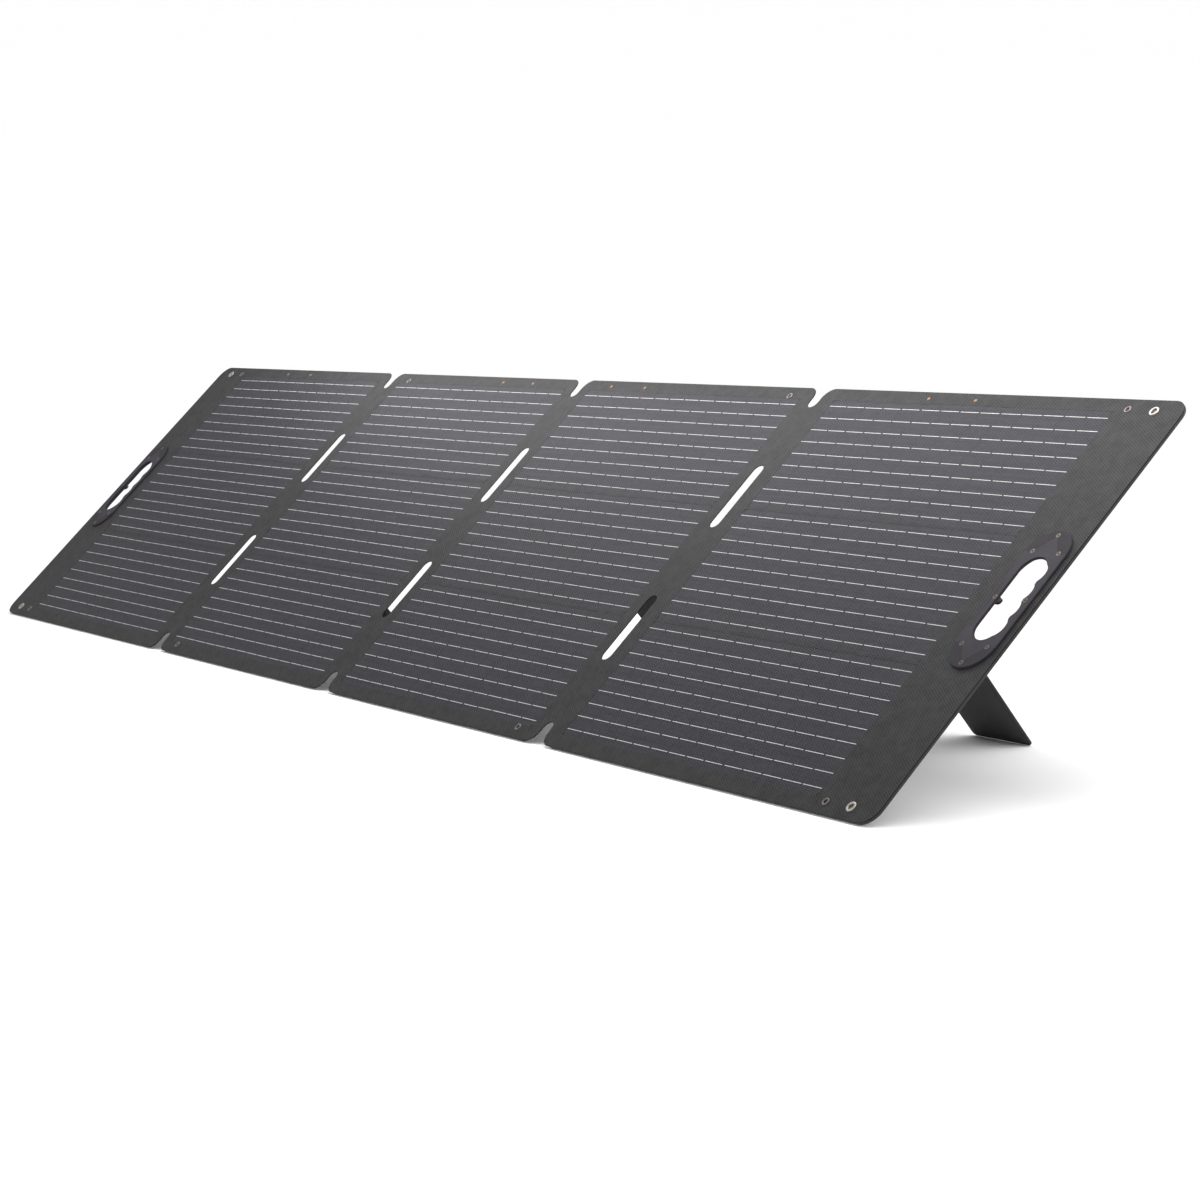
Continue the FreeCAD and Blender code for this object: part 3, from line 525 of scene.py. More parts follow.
def filled(line, holes, spacing, height):
    """Points and triangles that fill a line, apart from round-ended holes (x, v, radius, half run).

    Height gives w inside the line. The line's own points keep the w they have.
    """
    flat = [Vector((p[0], p[1])) for p in line]
    edges = [(i, (i + 1) % len(flat)) for i in range(len(flat))]

    def off_hole(p, grow):
        for x, v, radius, run in holes:
            beyond = Vector((p.x - x, max(0.0, abs(p.y - v) - run)))
            if beyond.length <= radius + grow:
                return False
        return True

    for x, v, radius, run in holes:
        first = len(flat)
        for k in range(HOLE_SIDES):
            turn = 2 * math.pi * (k + 0.5) / HOLE_SIDES
            rise = radius * math.sin(turn)
            flat.append(Vector((x + radius * math.cos(turn), v + rise + math.copysign(run, rise))))
        edges += [(first + k, first + (k + 1) % HOLE_SIDES) for k in range(HOLE_SIDES)]
    xs, vs = [p.x for p in flat], [p.y for p in flat]
    for i in range(1, int((max(xs) - min(xs)) / spacing)):
        for k in range(1, int((max(vs) - min(vs)) / spacing)):
            p = Vector((min(xs) + (i + 0.5 * (k % 2)) * spacing, min(vs) + k * spacing))
            within = p.x < max(xs) - spacing / 2 and p.y < max(vs) - spacing / 2
            if within and off_hole(p, spacing * 0.4):
                flat.append(p)
    points, _, triangles, *_ = delaunay_2d_cdt(flat, edges, [], 1, 1e-5)
    kept = []
    for t in triangles:
        middle = (points[t[0]] + points[t[1]] + points[t[2]]) / 3
        if off_hole(middle, -0.01):
            kept.append(tuple(t))
    inside = [(p.x, p.y, height(p.x, p.y)) for p in points[len(line):]]
    return [(p.x, p.y, own[2]) for p, own in zip(points, line)] + inside, kept


def several(parts):
    """Several meshes as one."""
    points, faces = [], []
    for more_points, more_faces in parts:
        first = len(points)
        points += more_points
        faces += [tuple(first + i for i in face) for face in more_faces]
    return points, faces


def cushion(lines, holes, spacing, height):
    """Joined lines, and the filled middle inside the last of them."""
    edge = [p for line in lines for p in line], join_lines(lines)
    return several([edge, filled(lines[-1], holes, spacing, height)])


def as_drawn(x, y, z):
    """For a piece whose points are already in the scene's metres."""
    return x, y, z


def piece(name, points, faces, finish, place=at, sharp=35.0):
    """A mesh piece, smooth except where its faces turn by more than sharp degrees."""
    mesh = bpy.data.meshes.new(name)
    mesh.from_pydata([place(*p) for p in points], [], faces)
    shape = bmesh.new()
    shape.from_mesh(mesh)
    bmesh.ops.remove_doubles(shape, verts=shape.verts, dist=1e-6)
    bmesh.ops.recalc_face_normals(shape, faces=shape.faces)
    for face in shape.faces:
        face.smooth = True
    for edge in shape.edges:
        edge.smooth = edge.calc_face_angle(0.0) < math.radians(sharp)
    shape.to_mesh(mesh)
    shape.free()
    made = bpy.data.objects.new(name, mesh)
    bpy.context.scene.collection.objects.link(made)
    mesh.materials.append(finish)
    return made


# %% [markdown]
# ## Stitches
# A lockstitch is a row of short thread grains, each sunk at its ends where the needle went down.
# A texture would look painted on, and a tube for every stitch is heavy. Each grain here is a
# spindle of ten points: pointed ends and a four-sided middle, which smooth shading rounds.

# %% A row of stitches along a line
THREAD = 0.62                # thickness of a stitch in mm
STITCH = 3.1
STITCH_PITCH = 4.0


def stitched(line, closed=True):
    """Points and faces of the stitches along a line of (x, v, w) points in mm."""
    points, faces = [], []
    line = [Vector(p) for p in line]
    if closed:
        line.append(line[0])
    lengths = [(b - a).length for a, b in zip(line, line[1:])]
    total = sum(lengths)
    count = max(1, int(total / STITCH_PITCH))
    step, gone, leg = total / count, 0.0, 0
    for k in range(count):
        target = (k + 0.5) * step
        while leg < len(lengths) - 1 and gone + lengths[leg] < target:
            gone += lengths[leg]
            leg += 1
        run = (line[leg + 1] - line[leg]).normalized()
        centre = line[leg] + run * (target - gone)
        side = Vector((-run.y, run.x, 0))
        rise = Vector((0, 0, 1))
        first = len(points)
        for end in (-1, 1):
            points.append(centre + run * (end * STITCH / 2))
        for end in (-1, 1):
            for a, b in ((1, 0), (0, 1), (-1, 0), (0, -1)):
                away = (side * a + rise * b) * (THREAD / 2)
                points.append(centre + run * (end * STITCH * 0.28) + away)
        for i in range(4):
            j = (i + 1) % 4
            faces.append((first, first + 2 + j, first + 2 + i))
            faces.append((first + 1, first + 6 + i, first + 6 + j))
            faces.append((first + 2 + i, first + 2 + j, first + 6 + j, first + 6 + i))
    return points, faces


# %% [markdown]
# ## Back covers
# One piece of cloth is stretched over each leaf's board, turned up round its edges and caught under
# the film. A seam runs round it, 4 mm in, and pulls the cloth down into a shallow groove. Between
# the seams the cloth is tight but never quite flat, which a slow noise of a tenth of a millimetre
# shows when light rakes across it. The handle and eyelet holes are cut out of the middle.

# %% Cloth over the back of each leaf
BOARD_BACK = 16.5            # hinge line to the cover's edge
OUTER_CORNER = 20.0
NOTCH_CORNER = 16.0
HANDLE_FROM_END = 39.0
HANDLE_RISE = 5.0            # middle of the handle above the leaf's middle
EYELET_FROM_END = 41.0
EYELET_FROM_EDGE = 15.0
HANDLE_CUT = (28.2, 35.0)    # radius and half run of the cloth's hole behind a handle
EYELET_CUT = (4.1, 0.0)      # the same behind an eyelet
SEAM_IN = 4.2
MID = LEAF_HEIGHT / 2
BACK = -THICK


def tight_cloth(x, v):
    """Height of stretched cloth: never outside the leaf's back, and a little inside it."""
    return BACK + 0.12 * (0.5 + 0.5 * noise.noise(Vector((x / 60, v / 60, 0.3))))


for number in (1, 2, 3, 4):
    body = f"leaf_{number}"
    low, high = LEAF_ENDS[number - 1], LEAF_ENDS[number]
    free_left, free_right = number == 1, number == 4
    left = low + (0 if free_left else BOARD_BACK)
    right = high - (0 if free_right else BOARD_BACK)
    corners = [(left, 0), (right, 0), (right, LEAF_HEIGHT), (left, LEAF_HEIGHT)]
    free = (free_left, free_right, free_right, free_left)
    radii = [OUTER_CORNER if loose else NOTCH_CORNER for loose in free]
    profile = [
        (0.0, -LAMINATE), (0.0, BACK + 1.3), (0.35, BACK + 0.5), (1.0, BACK + 0.1), (1.9, BACK),
        (3.0, BACK + 0.08), (SEAM_IN, BACK + 0.3), (5.4, BACK + 0.08), (6.6, BACK),
    ]
    holes = []
    if free_left or free_right:
        outer, inward = (low, 1) if free_left else (high, -1)
        holes.append((outer + inward * HANDLE_FROM_END, MID + HANDLE_RISE, *HANDLE_CUT))
        for v in (EYELET_FROM_EDGE, LEAF_HEIGHT - EYELET_FROM_EDGE):
            holes.append((outer + inward * EYELET_FROM_END, v, *EYELET_CUT))
    shape = cushion(contours(corners, radii, profile), holes, 13.0, tight_cloth)
    cover = piece(f"leaf_{number}_cover_cloth", *shape, finishes["cloth"])
    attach(cover, body)
    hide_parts(f"leaf_{number}_back_cover")
    seam = stitched(contours(corners, radii, [(SEAM_IN, BACK + 0.12)], 5.0)[0])
    thread = piece(f"leaf_{number}_cover_seam", *seam, finishes["thread"], sharp=80)
    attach(thread, body)
    print(cover.name, len(cover.data.vertices), "points and", len(seam[1]) // 12, "stitches")

# %% [markdown]
# ## Busbar lines
# Each row of cells is cut into narrow strips of silicon, and nine ribbons run across every strip.
# A ribbon stops where its strip does, so from the front each line is a row of dashes. The dashes
# lie on the strips, a tenth of a millimetre proud, and stand for the plain ribbons of the model.
# No two are quite the same: the press moves each one by a few hundredths of a millimetre. A small
# rule made of sines gives those shifts, so they are the same every time the script runs.

# %% Dashed ribbons on every strip
GROUPS = (5, 4, 5)
STRIP_GAP = 1.2
GROUP_GAP = 2.3
ROWS = 3
ROW_GAP = 3.8
CELLS_LOW = 17.8             # leaf's lower edge to the cells
BUSBARS = 9
RIBBON_WIDTH = 0.8
RIBBON_THICK = 0.1
RIBBON_EDGE = 0.06           # its top in from its foot
RIBBON_END = 0.55            # dash's end in from the strip's end
CELL_HEIGHT = (LEAF_HEIGHT - 2 * CELLS_LOW - (ROWS - 1) * ROW_GAP) / ROWS


def strip_ends(start, end):
    """Start and end of every strip of silicon between two places along a leaf."""
    gaps = []
    for size in GROUPS:
        gaps += [STRIP_GAP] * (size - 1) + [GROUP_GAP]
    gaps.pop()
    width = (end - start - sum(gaps)) / sum(GROUPS)
    x, found = start, []
    for gap in gaps + [0.0]:
        found.append((x, x + width))
        x += width + gap
    return found


def dash(x0, x1, v, width):
    """A thin ribbon with clipped corners, a little narrower at its top than at its foot."""
    cut, half = width * 0.3, width / 2
    outline = [
        (x0 + cut, v - half), (x1 - cut, v - half), (x1, v - half + cut), (x1, v + half - cut),
        (x1 - cut, v + half), (x0 + cut, v + half), (x0, v + half - cut), (x0, v - half + cut),
    ]
    foot = [(x, y, -RIBBON_THICK) for x, y in outline]
    middle = (x0 + x1) / 2
    top = [
        (x + math.copysign(RIBBON_EDGE, middle - x), y + math.copysign(RIBBON_EDGE, v - y), 0.0)
        for x, y in outline
    ]
    return foot + top


for number in (1, 2, 3, 4):
    start, end = span(f"leaf_{number}_cell_strips")
    points, faces = [], []
    for row in range(ROWS):
        foot = CELLS_LOW + row * (CELL_HEIGHT + ROW_GAP)
        for bar in range(BUSBARS):
            v = foot + (bar + 0.5) * CELL_HEIGHT / BUSBARS
            for index, (x0, x1) in enumerate(strip_ends(start, end)):
                shift = 0.12 * math.sin(7.3 * index + 3.1 * bar + 5.7 * row + number)
                trim = RIBBON_END + 0.25 * (1 + math.sin(11.9 * index + 4.3 * bar + row))
                first = len(points)
                points += dash(x0 + trim, x1 - trim, v + shift, RIBBON_WIDTH)
                faces.append(tuple(range(first + 8, first + 16)))
                for i in range(8):
                    j = (i + 1) % 8
                    faces.append((first + i, first + j, first + 8 + j, first + 8 + i))
    ribbons = piece(f"leaf_{number}_busbar_dashes", points, faces, finishes["ribbon"], sharp=60)
    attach(ribbons, f"leaf_{number}")
    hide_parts(f"leaf_{number}_busbar_ribbons")
print(ROWS * BUSBARS * sum(GROUPS), "dashes on each leaf")

# %% [markdown]
# ## Glue between the strips
# Under the film the strips lie in a soft clear glue that fills the gaps between them, so a gap
# shows as a faint line and not as a groove. A thin slab along each row, a hair lower than the
# silicon, does the same. The gaps between the rows stay open and darker.

# %% Slabs of glue in each row
GLUE_TOP = -0.13
GLUE_BOTTOM = -0.28
GLUE_END = 5.0               # glue in from the row's ends
GLUE_SIDE = 0.3              # and from its two sides


def slab(x0, x1, columns, rows, low, high, w0, w1):
    """A closed slab of a grid, whose lower and upper ends are functions of x."""
    points, faces = [], []
    for w in (w0, w1):
        for i in range(columns + 1):
            x = x0 + (x1 - x0) * i / columns
            for k in range(rows + 1):
                points.append((x, low(x) + (high(x) - low(x)) * k / rows, w))
    layer = (columns + 1) * (rows + 1)

    def spot(i, k, top):
        return top * layer + i * (rows + 1) + k

    for i in range(columns):
        for k in range(rows):
            square = [(i, k), (i, k + 1), (i + 1, k + 1), (i + 1, k)]
            faces.append(tuple(spot(*c, 0) for c in square))
            faces.append(tuple(spot(*c, 1) for c in (square[0], *square[:0:-1])))
        for k in (0, rows):
            faces.append((spot(i, k, 0), spot(i + 1, k, 0), spot(i + 1, k, 1), spot(i, k, 1)))
    for k in range(rows):
        for i in (0, columns):
            faces.append((spot(i, k, 0), spot(i, k, 1), spot(i, k + 1, 1), spot(i, k + 1, 0)))
    return points, faces


for number in (1, 2, 3, 4):
    start, end = span(f"leaf_{number}_cell_strips")
    strips = strip_ends(start, end)
    slabs = []
    x0, x1 = strips[0][0] + GLUE_END, strips[-1][1] - GLUE_END
    for row in range(ROWS):
        foot = CELLS_LOW + row * (CELL_HEIGHT + ROW_GAP)
        slabs.append(slab(
            x0, x1, 2 * sum(GROUPS), 6, lambda x, foot=foot: foot + GLUE_SIDE,
            lambda x, foot=foot: foot + CELL_HEIGHT - GLUE_SIDE, GLUE_BOTTOM, GLUE_TOP,
        ))
    glue = piece(f"leaf_{number}_glue", *several(slabs), finishes["cells"], sharp=60)
    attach(glue, f"leaf_{number}")
print("glue in", len(slabs), "rows on each leaf")

# %% [markdown]
# ## Eyelets and magnet buttons
# An eyelet is a brass tube whose two ends are rolled over, so both rims are half of a ring and the
# bore is smooth. A magnet button is a small rolled ring that holds a dark magnet just below its
# rim. Both are turned shapes: a profile, from the middle outwards, is spun round an axis that
# points out of the leaf. A torus and a tube side by side would show a seam where they meet.

# %% Turned eyelets and buttons
EYELET_HOLE = 3.2
EYELET_FLANGE = 5.9
EYELET_WALL = 0.7
EYELET_RISE = 1.0
BUTTON_RING = 4.5
BUTTON_STEM = 3.1
BUTTON_RISE = 0.8
BUTTON_DEPTH = 3.0
MAGNET_RADIUS = 2.2
MAGNET_PLAY = 0.2            # round the magnet in its ring
SUNK = 0.05                  # how far a tube's end goes into its rolled rim
BUTTON_END_LEAF = 80.0
BUTTON_INNER_LEAF = 55.0
BUTTON_FROM_EDGE = 14.0
TURNS = 40


def turned(centre, profile, closed):
    """Points and faces of a profile of (radius, height) spun round a point of the leaf."""
    points, faces = [], []
    for radius, height in profile:
        for k in range(TURNS):
            turn = 2 * math.pi * k / TURNS
            x, v = centre[0] + radius * math.cos(turn), centre[1] + radius * math.sin(turn)
            points.append((x, v, height))
    rows = len(profile)
    for row in range(rows if closed else rows - 1):
        low, high = row * TURNS, (row + 1) % rows * TURNS
        for k in range(TURNS):
            j = (k + 1) % TURNS
            faces.append((low + k, low + j, high + j, high + k))
    if not closed:
        faces.append(tuple(range(TURNS)))
        faces.append(tuple((rows - 1) * TURNS + k for k in range(TURNS)))
    return points, faces


def rolled(inner, outer, seat, rise):
    """Half a ring from the bore's edge to the rim's outer edge, standing on a face at seat."""
    middle, half = (inner + outer) / 2, (outer - inner) / 2
    turns = [math.pi * k / 10 for k in range(11)]
    return [(middle - half * math.cos(turn), seat + rise * math.sin(turn)) for turn in turns]


eyelet_profile = rolled(EYELET_HOLE, EYELET_FLANGE, 0.0, EYELET_RISE)
eyelet_profile += [(EYELET_HOLE + EYELET_WALL, -SUNK), (EYELET_HOLE + EYELET_WALL, BACK + SUNK)]
eyelet_profile += list(reversed(rolled(EYELET_HOLE, EYELET_FLANGE, BACK, -EYELET_RISE)))
ring_hole = MAGNET_RADIUS + MAGNET_PLAY
ring_profile = rolled(ring_hole, BUTTON_RING, 0.0, BUTTON_RISE)
ring_profile += [(BUTTON_STEM, -SUNK), (BUTTON_STEM, -BUTTON_DEPTH), (ring_hole, -BUTTON_DEPTH)]
magnet_profile = [
    (0.4, 0.12), (1.4, 0.1), (MAGNET_RADIUS - 0.2, 0.02), (MAGNET_RADIUS, -0.15),
    (MAGNET_RADIUS, 0.1 - BUTTON_DEPTH),
]

for number in (1, 2, 3, 4):
    low, high = LEAF_ENDS[number - 1], LEAF_ENDS[number]
    x = {
        1: low + BUTTON_END_LEAF, 2: low + BUTTON_INNER_LEAF,
        3: high - BUTTON_INNER_LEAF, 4: high - BUTTON_END_LEAF,
    }[number]
    places = [(x, BUTTON_FROM_EDGE), (x, LEAF_HEIGHT - BUTTON_FROM_EDGE)]
    shapes = several([turned(place, ring_profile, True) for place in places])
    rings = piece(f"leaf_{number}_button_rings", *shapes, finishes["ring"])
    shapes = several([turned(place, magnet_profile, False) for place in places])
    magnets = piece(f"leaf_{number}_magnets", *shapes, finishes["magnet"])
    for made in (rings, magnets):
        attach(made, f"leaf_{number}")
    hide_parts(f"leaf_{number}_magnet_buttons")
    if number in (1, 4):
        x = low + EYELET_FROM_END if number == 1 else high - EYELET_FROM_END
        places = [(x, EYELET_FROM_EDGE), (x, LEAF_HEIGHT - EYELET_FROM_EDGE)]
        shapes = several([turned(place, eyelet_profile, True) for place in places])
        made = piece(f"leaf_{number}_rolled_eyelets", *shapes, finishes["nickel"], sharp=60)
        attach(made, f"leaf_{number}")
        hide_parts(f"leaf_{number}_eyelets")
print("eyelets and buttons turned")

# %% [markdown]
# ## Hinges
# The film face runs on from leaf to leaf and is the hinge: three bridges cross each fold, between
# the slots that let the fabric relax when it is bent double. A bridge has to bend, and a solid
# piece can't, so each is a fine grid, here drawn flat as the panel stands open. The middle hinge
# folds the other way round a narrow spine, in two creases, so its bridges come in two halves. Two
# flat conductors run inside the middle bridge.

# %% Film bridges and the conductors inside them
SLOT_HALF = 8.5
NOTCH_DEPTH = 30.0
SLOT_LENGTH = 96.0
SLOT_OFFSET = 100.0
SLOT_CLEAR = 0.02            # a bridge's hollow end inside the slot's rounding
WEB_CREASE = 0.8
WIRE_PLACES = (MID - 20.0, MID + 20.0)
WIRE_WIDTH = 12.0
WIRE_THICK = 0.3

SLOT_RUN = SLOT_LENGTH / 2 - SLOT_HALF
bridge_ends = [NOTCH_DEPTH - SLOT_HALF]
for side in (-1, 1):
    bridge_ends += [MID + side * SLOT_OFFSET - SLOT_RUN, MID + side * SLOT_OFFSET + SLOT_RUN]
bridge_ends.append(LEAF_HEIGHT - NOTCH_DEPTH + SLOT_HALF)
BRIDGES = list(zip(bridge_ends[0::2], bridge_ends[1::2]))


def bridge(name, hinge, x0, x1, bodies, crease, columns):
    """The three bridges of a hinge from x0 to x1, and their conductors, as flat grids."""

    def round_in(end, sign):
        radius = SLOT_HALF - SLOT_CLEAR
        return lambda x: end + sign * math.sqrt(max(0.0, radius ** 2 - (x - hinge) ** 2))

    webs = [
        slab(x0, x1, columns, 14, round_in(low, 1), round_in(high, -1), -LAMINATE, 0.0)
        for low, high in BRIDGES
    ]
    web = piece(f"{name}_film", *several(webs), finishes["film"], sharp=60)
    half = WIRE_WIDTH / 2
    middle = -LAMINATE / 2
    wires = [
        slab(x0, x1, columns, 2, lambda x, v=v: v - half, lambda x, v=v: v + half,
             middle - WIRE_THICK / 2, middle + WIRE_THICK / 2)
        for v in WIRE_PLACES
    ]
    wire = piece(f"{name}_wires", *several(wires), finishes["copper"], sharp=60)
    for made, slot in ((web, "etfe_laminate"), (wire, "copper")):
        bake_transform(made)
    return web, wire


for name, hinge, bodies, way in (
    ("hinge_12", HINGES[0], ("leaf_2", "leaf_1"), -1),
    ("hinge_34", HINGES[2], ("leaf_3", "leaf_4"), 1),
):
    edges = (hinge - way * SLOT_HALF, hinge + way * SLOT_HALF)
    web, wire = bridge(name, hinge, hinge - SLOT_HALF, hinge + SLOT_HALF, bodies, edges, 28)
    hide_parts(f"{name}_web")
    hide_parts(f"{name}_conductors")

middle_hinge = HINGES[1]
for side, bodies in ((-1, ("leaf_2", "middle_spine")), (1, ("middle_spine", "leaf_3"))):
    crease = middle_hinge + side * (SLOT_HALF - WEB_CREASE)
    edges = (crease - WEB_CREASE, crease + WEB_CREASE)
    ends = sorted((middle_hinge, middle_hinge + side * SLOT_HALF))
    word = "left" if side < 0 else "right"
    web, wire = bridge(f"hinge_23_{word}", middle_hinge, *ends, bodies, edges, 34)
    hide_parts("hinge_23_web")
    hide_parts("hinge_23_conductors")
print("bridges", [(round(a), round(b)) for a, b in BRIDGES])

# %% [markdown]
# ## Legs
# A leg is a thin board in a sewn sleeve. The sleeve is two layers of the same cloth as the back,
# sewn together round the board, so its rim is flat and the board makes a flat raised middle with
# soft shoulders. Its upper end hangs from a strip of doubled cloth that is sewn to the leaf's back
# with a box of stitches crossed corner to corner, the strongest way to sew a strap down.
# The narrow band of cloth between them is the leg's hinge, and it bends.

# %% Where each leg's crease is, and a drawing board that lies with the open leg
LEG_THICK = 3.0
LEG_FOOT = 100.0
LEG_TOP = 110.0
LEG_CORNER = 5.5
LEG_SEAM = 4.0
CREASE_PLAY = 0.5
FLAP_CLEAR = 2.0
FLAP_LENGTH = 62.0
FLAP_THICK = 1.6
FLAP_CORNER = 3.0
FLAP_SEAM_IN = 3.2
BAND_HALF = LEG_TOP / 2 - LEG_SEAM
BAND_ABOVE = 7.0             # crease to the band's ends
BAND_BELOW = 9.0
BAND_THICK = 0.7
BAND_BEND = 3.0              # crease to where the bend starts and ends
opened = Matrix.Rotation(math.radians(LEG_OPEN), 3, "X")
LEG_DOWN, LEG_FACE = opened @ -UP, opened @ OUT


class Leg:
    """One leg's crease, its length, and points on it in mm across, up it and out of its face."""

    def __init__(self, number):
        self.number = number
        self.crease = Vector(joints[f"leg_{number}_swing"]["pos_m"])
        self.middle = along(self.crease.x)
        self.v = (self.crease - CORNER).dot(UP) / MM
        self.w = (self.crease - CORNER).dot(OUT) / MM
        foot_z = self.crease.z + LEG_FACE.z * LEG_THICK / 2 * MM
        self.reach = foot_z / -LEG_DOWN.z / MM

    def at(self, x, v, w):
        return self.crease + (ALONG * x - LEG_DOWN * v + LEG_FACE * w) * MM


legs = [Leg(number) for number in (1, 2, 3, 4)]
print("legs at", [round(leg.middle) for leg in legs], "reach", round(legs[0].reach, 1), "mm")

# %% Sewn sleeves round the leg boards
for leg in legs:
    corners = [
        (-LEG_FOOT / 2, -leg.reach), (LEG_FOOT / 2, -leg.reach),
        (LEG_TOP / 2, -CREASE_PLAY), (-LEG_TOP / 2, -CREASE_PLAY),
    ]
    radii = [LEG_CORNER, LEG_CORNER, 1.0, 1.0]
    half = LEG_THICK / 2
    profile = [
        (0.0, 0.0), (0.0, 0.9), (0.15, 1.2), (0.6, 1.38), (1.2, 1.42), (1.8, 1.2), (2.3, 1.02),
        (2.8, 1.12), (3.5, 1.3), (4.6, 1.42), (6.5, half - 0.04), (9.0, half),
    ]
    rim = contours(corners, radii, profile, 12.0)
    sides = []
    for face in (1, -1):
        lines = [[(x, v, w * face) for x, v, w in line] for line in rim]

        def pulled(x, v, face=face):
            soft = noise.noise(Vector((x / 35, v / 35, face * 4.0)))
            return face * (half - 0.1 - 0.1 * soft)

        sides.append(cushion(lines, [], 12.0, pulled))
    sleeve = piece(
        f"leg_{leg.number}_sleeve_cloth", *several(sides), finishes["leg_cloth"],
        place=leg.at,
    )
    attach(sleeve, f"leg_{leg.number}")
    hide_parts(f"leg_{leg.number}_sleeve")
    seam = contours(corners, radii, [(2.3, 0.66)], 6.0)[0]
    rows = [stitched([(x, v, w * face) for x, v, w in seam]) for face in (1, -1)]
    thread = piece(
        f"leg_{leg.number}_seam", *several(rows), finishes["thread"], sharp=80,
        place=leg.at,
    )
    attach(thread, f"leg_{leg.number}")
print("sleeves", len(sleeve.data.vertices), "points each")

# %% Flaps sewn to the leaf, and the band of cloth at each crease
for leg in legs:
    low = leg.v + FLAP_CLEAR
    left, right = leg.middle - LEG_TOP / 2, leg.middle + LEG_TOP / 2
    corners = [(left, low), (right, low), (right, low + FLAP_LENGTH), (left, low + FLAP_LENGTH)]
    top = BACK - FLAP_THICK
    profile = [
        (0.0, BACK), (0.0, top + 0.6), (0.2, top + 0.2), (0.7, top), (2.4, top + 0.06),
        (3.2, top + 0.3), (4.0, top + 0.06), (5.2, top),
    ]
    radii = [FLAP_CORNER] * 4

    def quilted(x, v, leg=leg, low=low, top=top):
        """The cloth dips along the crossed rows of stitches."""
        across = (x - leg.middle) / (LEG_TOP / 2)
        up = (v - low) / (FLAP_LENGTH / 2) - 1
        near = min(abs(across - up), abs(across + up))
        return top + 0.03 + 0.25 * max(0.0, 1 - near * 8)

    shape = cushion(contours(corners, radii, profile, 6.0), [], 4.0, quilted)
    flap = piece(f"leaf_{leg.number}_flap_cloth", *shape, finishes["cloth"])
    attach(flap, f"leaf_{leg.number}")
    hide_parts(f"leaf_{leg.number}_leg_flap")
    laid = top + 0.15
    rows = [stitched(contours(corners, radii, [(FLAP_SEAM_IN, laid)], 4.0)[0])]
    for a, b in ((corners[0], corners[2]), (corners[1], corners[3])):
        start, end = Vector((*a, laid)), Vector((*b, laid))
        rows.append(stitched([start.lerp(end, t) for t in (0.06, 0.5, 0.94)], closed=False))
    thread = piece(f"leaf_{leg.number}_flap_stitches", *several(rows), finishes["thread"], sharp=80)
    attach(thread, f"leaf_{leg.number}")

    # The band is drawn with the leg stowed. Then each point turns by its share of the swing.
    points, faces = slab(
        leg.middle - BAND_HALF, leg.middle + BAND_HALF, 10, 24,
        lambda x, leg=leg: leg.v - BAND_BELOW, lambda x, leg=leg: leg.v + BAND_ABOVE,
        leg.w - BAND_THICK / 2, leg.w + BAND_THICK / 2,
    )
    bent = []
    for x, v, w in points:
        share = max(0.0, min(1.0, (BAND_BEND - (v - leg.v)) / (2 * BAND_BEND)))
        share = share * share * (3 - 2 * share)
        swing = Matrix.Rotation(math.radians(LEG_OPEN) * share, 3, "X")
        bent.append(tuple(leg.crease + swing @ (at(x, v, w) - leg.crease)))
    band = piece(
        f"leg_{leg.number}_crease_band", bent, faces, finishes["cloth"], place=as_drawn, sharp=60,
    )
    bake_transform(band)
print("flaps and creases made")

# %% [markdown]
# ## Floor, light and camera
# The panel stands on a plain pale floor that curves up into a wall far away on every side, so no
# horizon shows. A pale sky lights everything evenly and gives the film its sheen, and one long
# lamp above the top edge lights the tops of the leaves more than their feet. The camera stands low
# beyond the right end with a short telephoto lens, which keeps the row of leaves from shrinking
# away too fast.

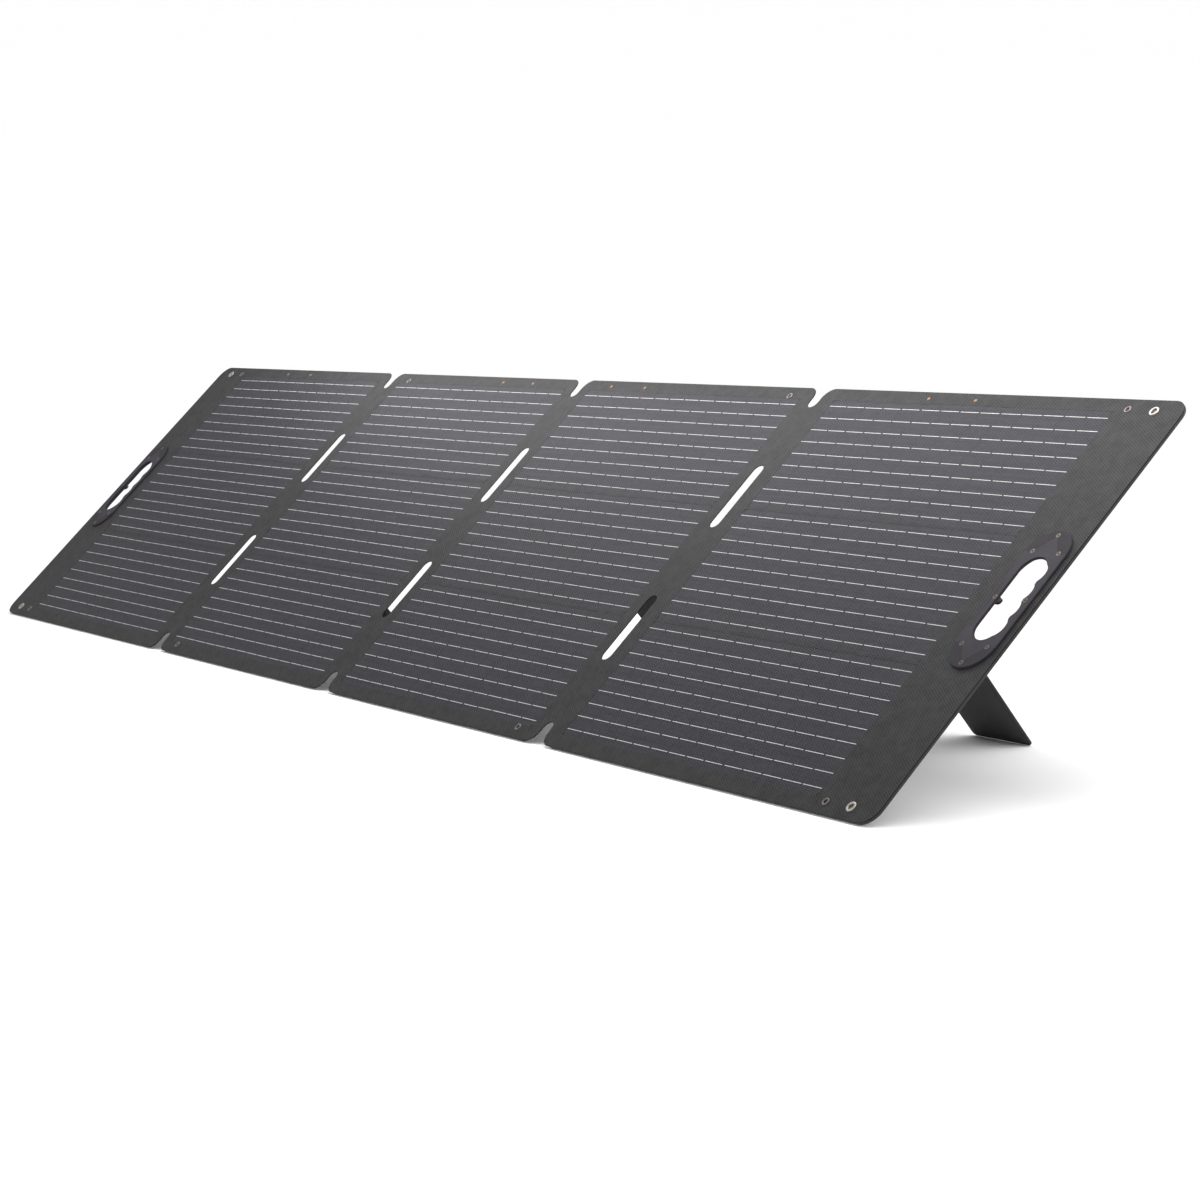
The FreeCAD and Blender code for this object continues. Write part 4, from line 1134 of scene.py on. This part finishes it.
# %% Floor that curves up into a wall
FLOOR_RADIUS = 14.0
WALL_CURVE = 5.0
SPOKES = 96
rings = [0.5, 1.5, 3.0, 6.0, 10.0, FLOOR_RADIUS]
sweep = [(r, 0.0) for r in rings]
for k in range(1, 13):
    turn = math.pi / 2 * k / 12
    sweep.append((FLOOR_RADIUS + WALL_CURVE * math.sin(turn), WALL_CURVE * (1 - math.cos(turn))))
points = [(0.0, 0.0, 0.0)]
turns = [2 * math.pi * k / SPOKES for k in range(SPOKES)]
for r, z in sweep:
    points += [(r * math.cos(turn), r * math.sin(turn), z) for turn in turns]
faces = [(0, 1 + k, 1 + (k + 1) % SPOKES) for k in range(SPOKES)]
faces += join_lines([[None] * SPOKES] * len(sweep), 1)
finish, tree, shader = new_finish("pale_floor", "fbfbfb", 0.9)
floor = piece("floor", points, faces, finish, place=as_drawn, sharp=80)

# %% Sky, lamp and camera
SKY = 1.05
LAMP_PLACE = Vector((0.62, 0.08, 0.58))
LAMP_AIM = Vector((0.62, 0.13, 0.33))
LAMP_SIZE = (3.3, 0.3)
LAMP_POWER = 10.5            # in watts
scene = bpy.context.scene
scene.view_settings.view_transform = "Standard"
world = bpy.data.worlds.new("pale_sky")
world.use_nodes = True
glow = world.node_tree.nodes["Background"].inputs
glow["Color"].default_value = (1.0, 1.0, 1.0, 1.0)
glow["Strength"].default_value = SKY
scene.world = world

lamp_data = bpy.data.lights.new("lamp_over_the_top_edge", "AREA")
lamp_data.shape = "RECTANGLE"
lamp_data.size, lamp_data.size_y = LAMP_SIZE
lamp_data.energy = LAMP_POWER
lamp = bpy.data.objects.new("lamp_over_the_top_edge", lamp_data)
lamp.location = LAMP_PLACE
lamp.rotation_euler = (LAMP_AIM - LAMP_PLACE).to_track_quat("-Z", "Y").to_euler()
lamp.visible_camera = False
scene.collection.objects.link(lamp)

LENS = 86.42                 # mm, on a sensor 36 mm wide
camera_data = bpy.data.cameras.new("camera")
camera_data.sensor_width = 36.0
camera_data.lens = LENS
camera_data.clip_end = 100.0
camera = bpy.data.objects.new("camera", camera_data)
camera.location = (3.2166, -1.7960, 0.4537)
aimed = Vector((-0.84947, 0.51914, -0.09429)).to_track_quat("-Z", "Y")
rolled_by = Quaternion((0, 0, 1), 0.0048)
camera.rotation_euler = (aimed @ rolled_by).to_euler()
scene.collection.objects.link(camera)
scene.camera = camera
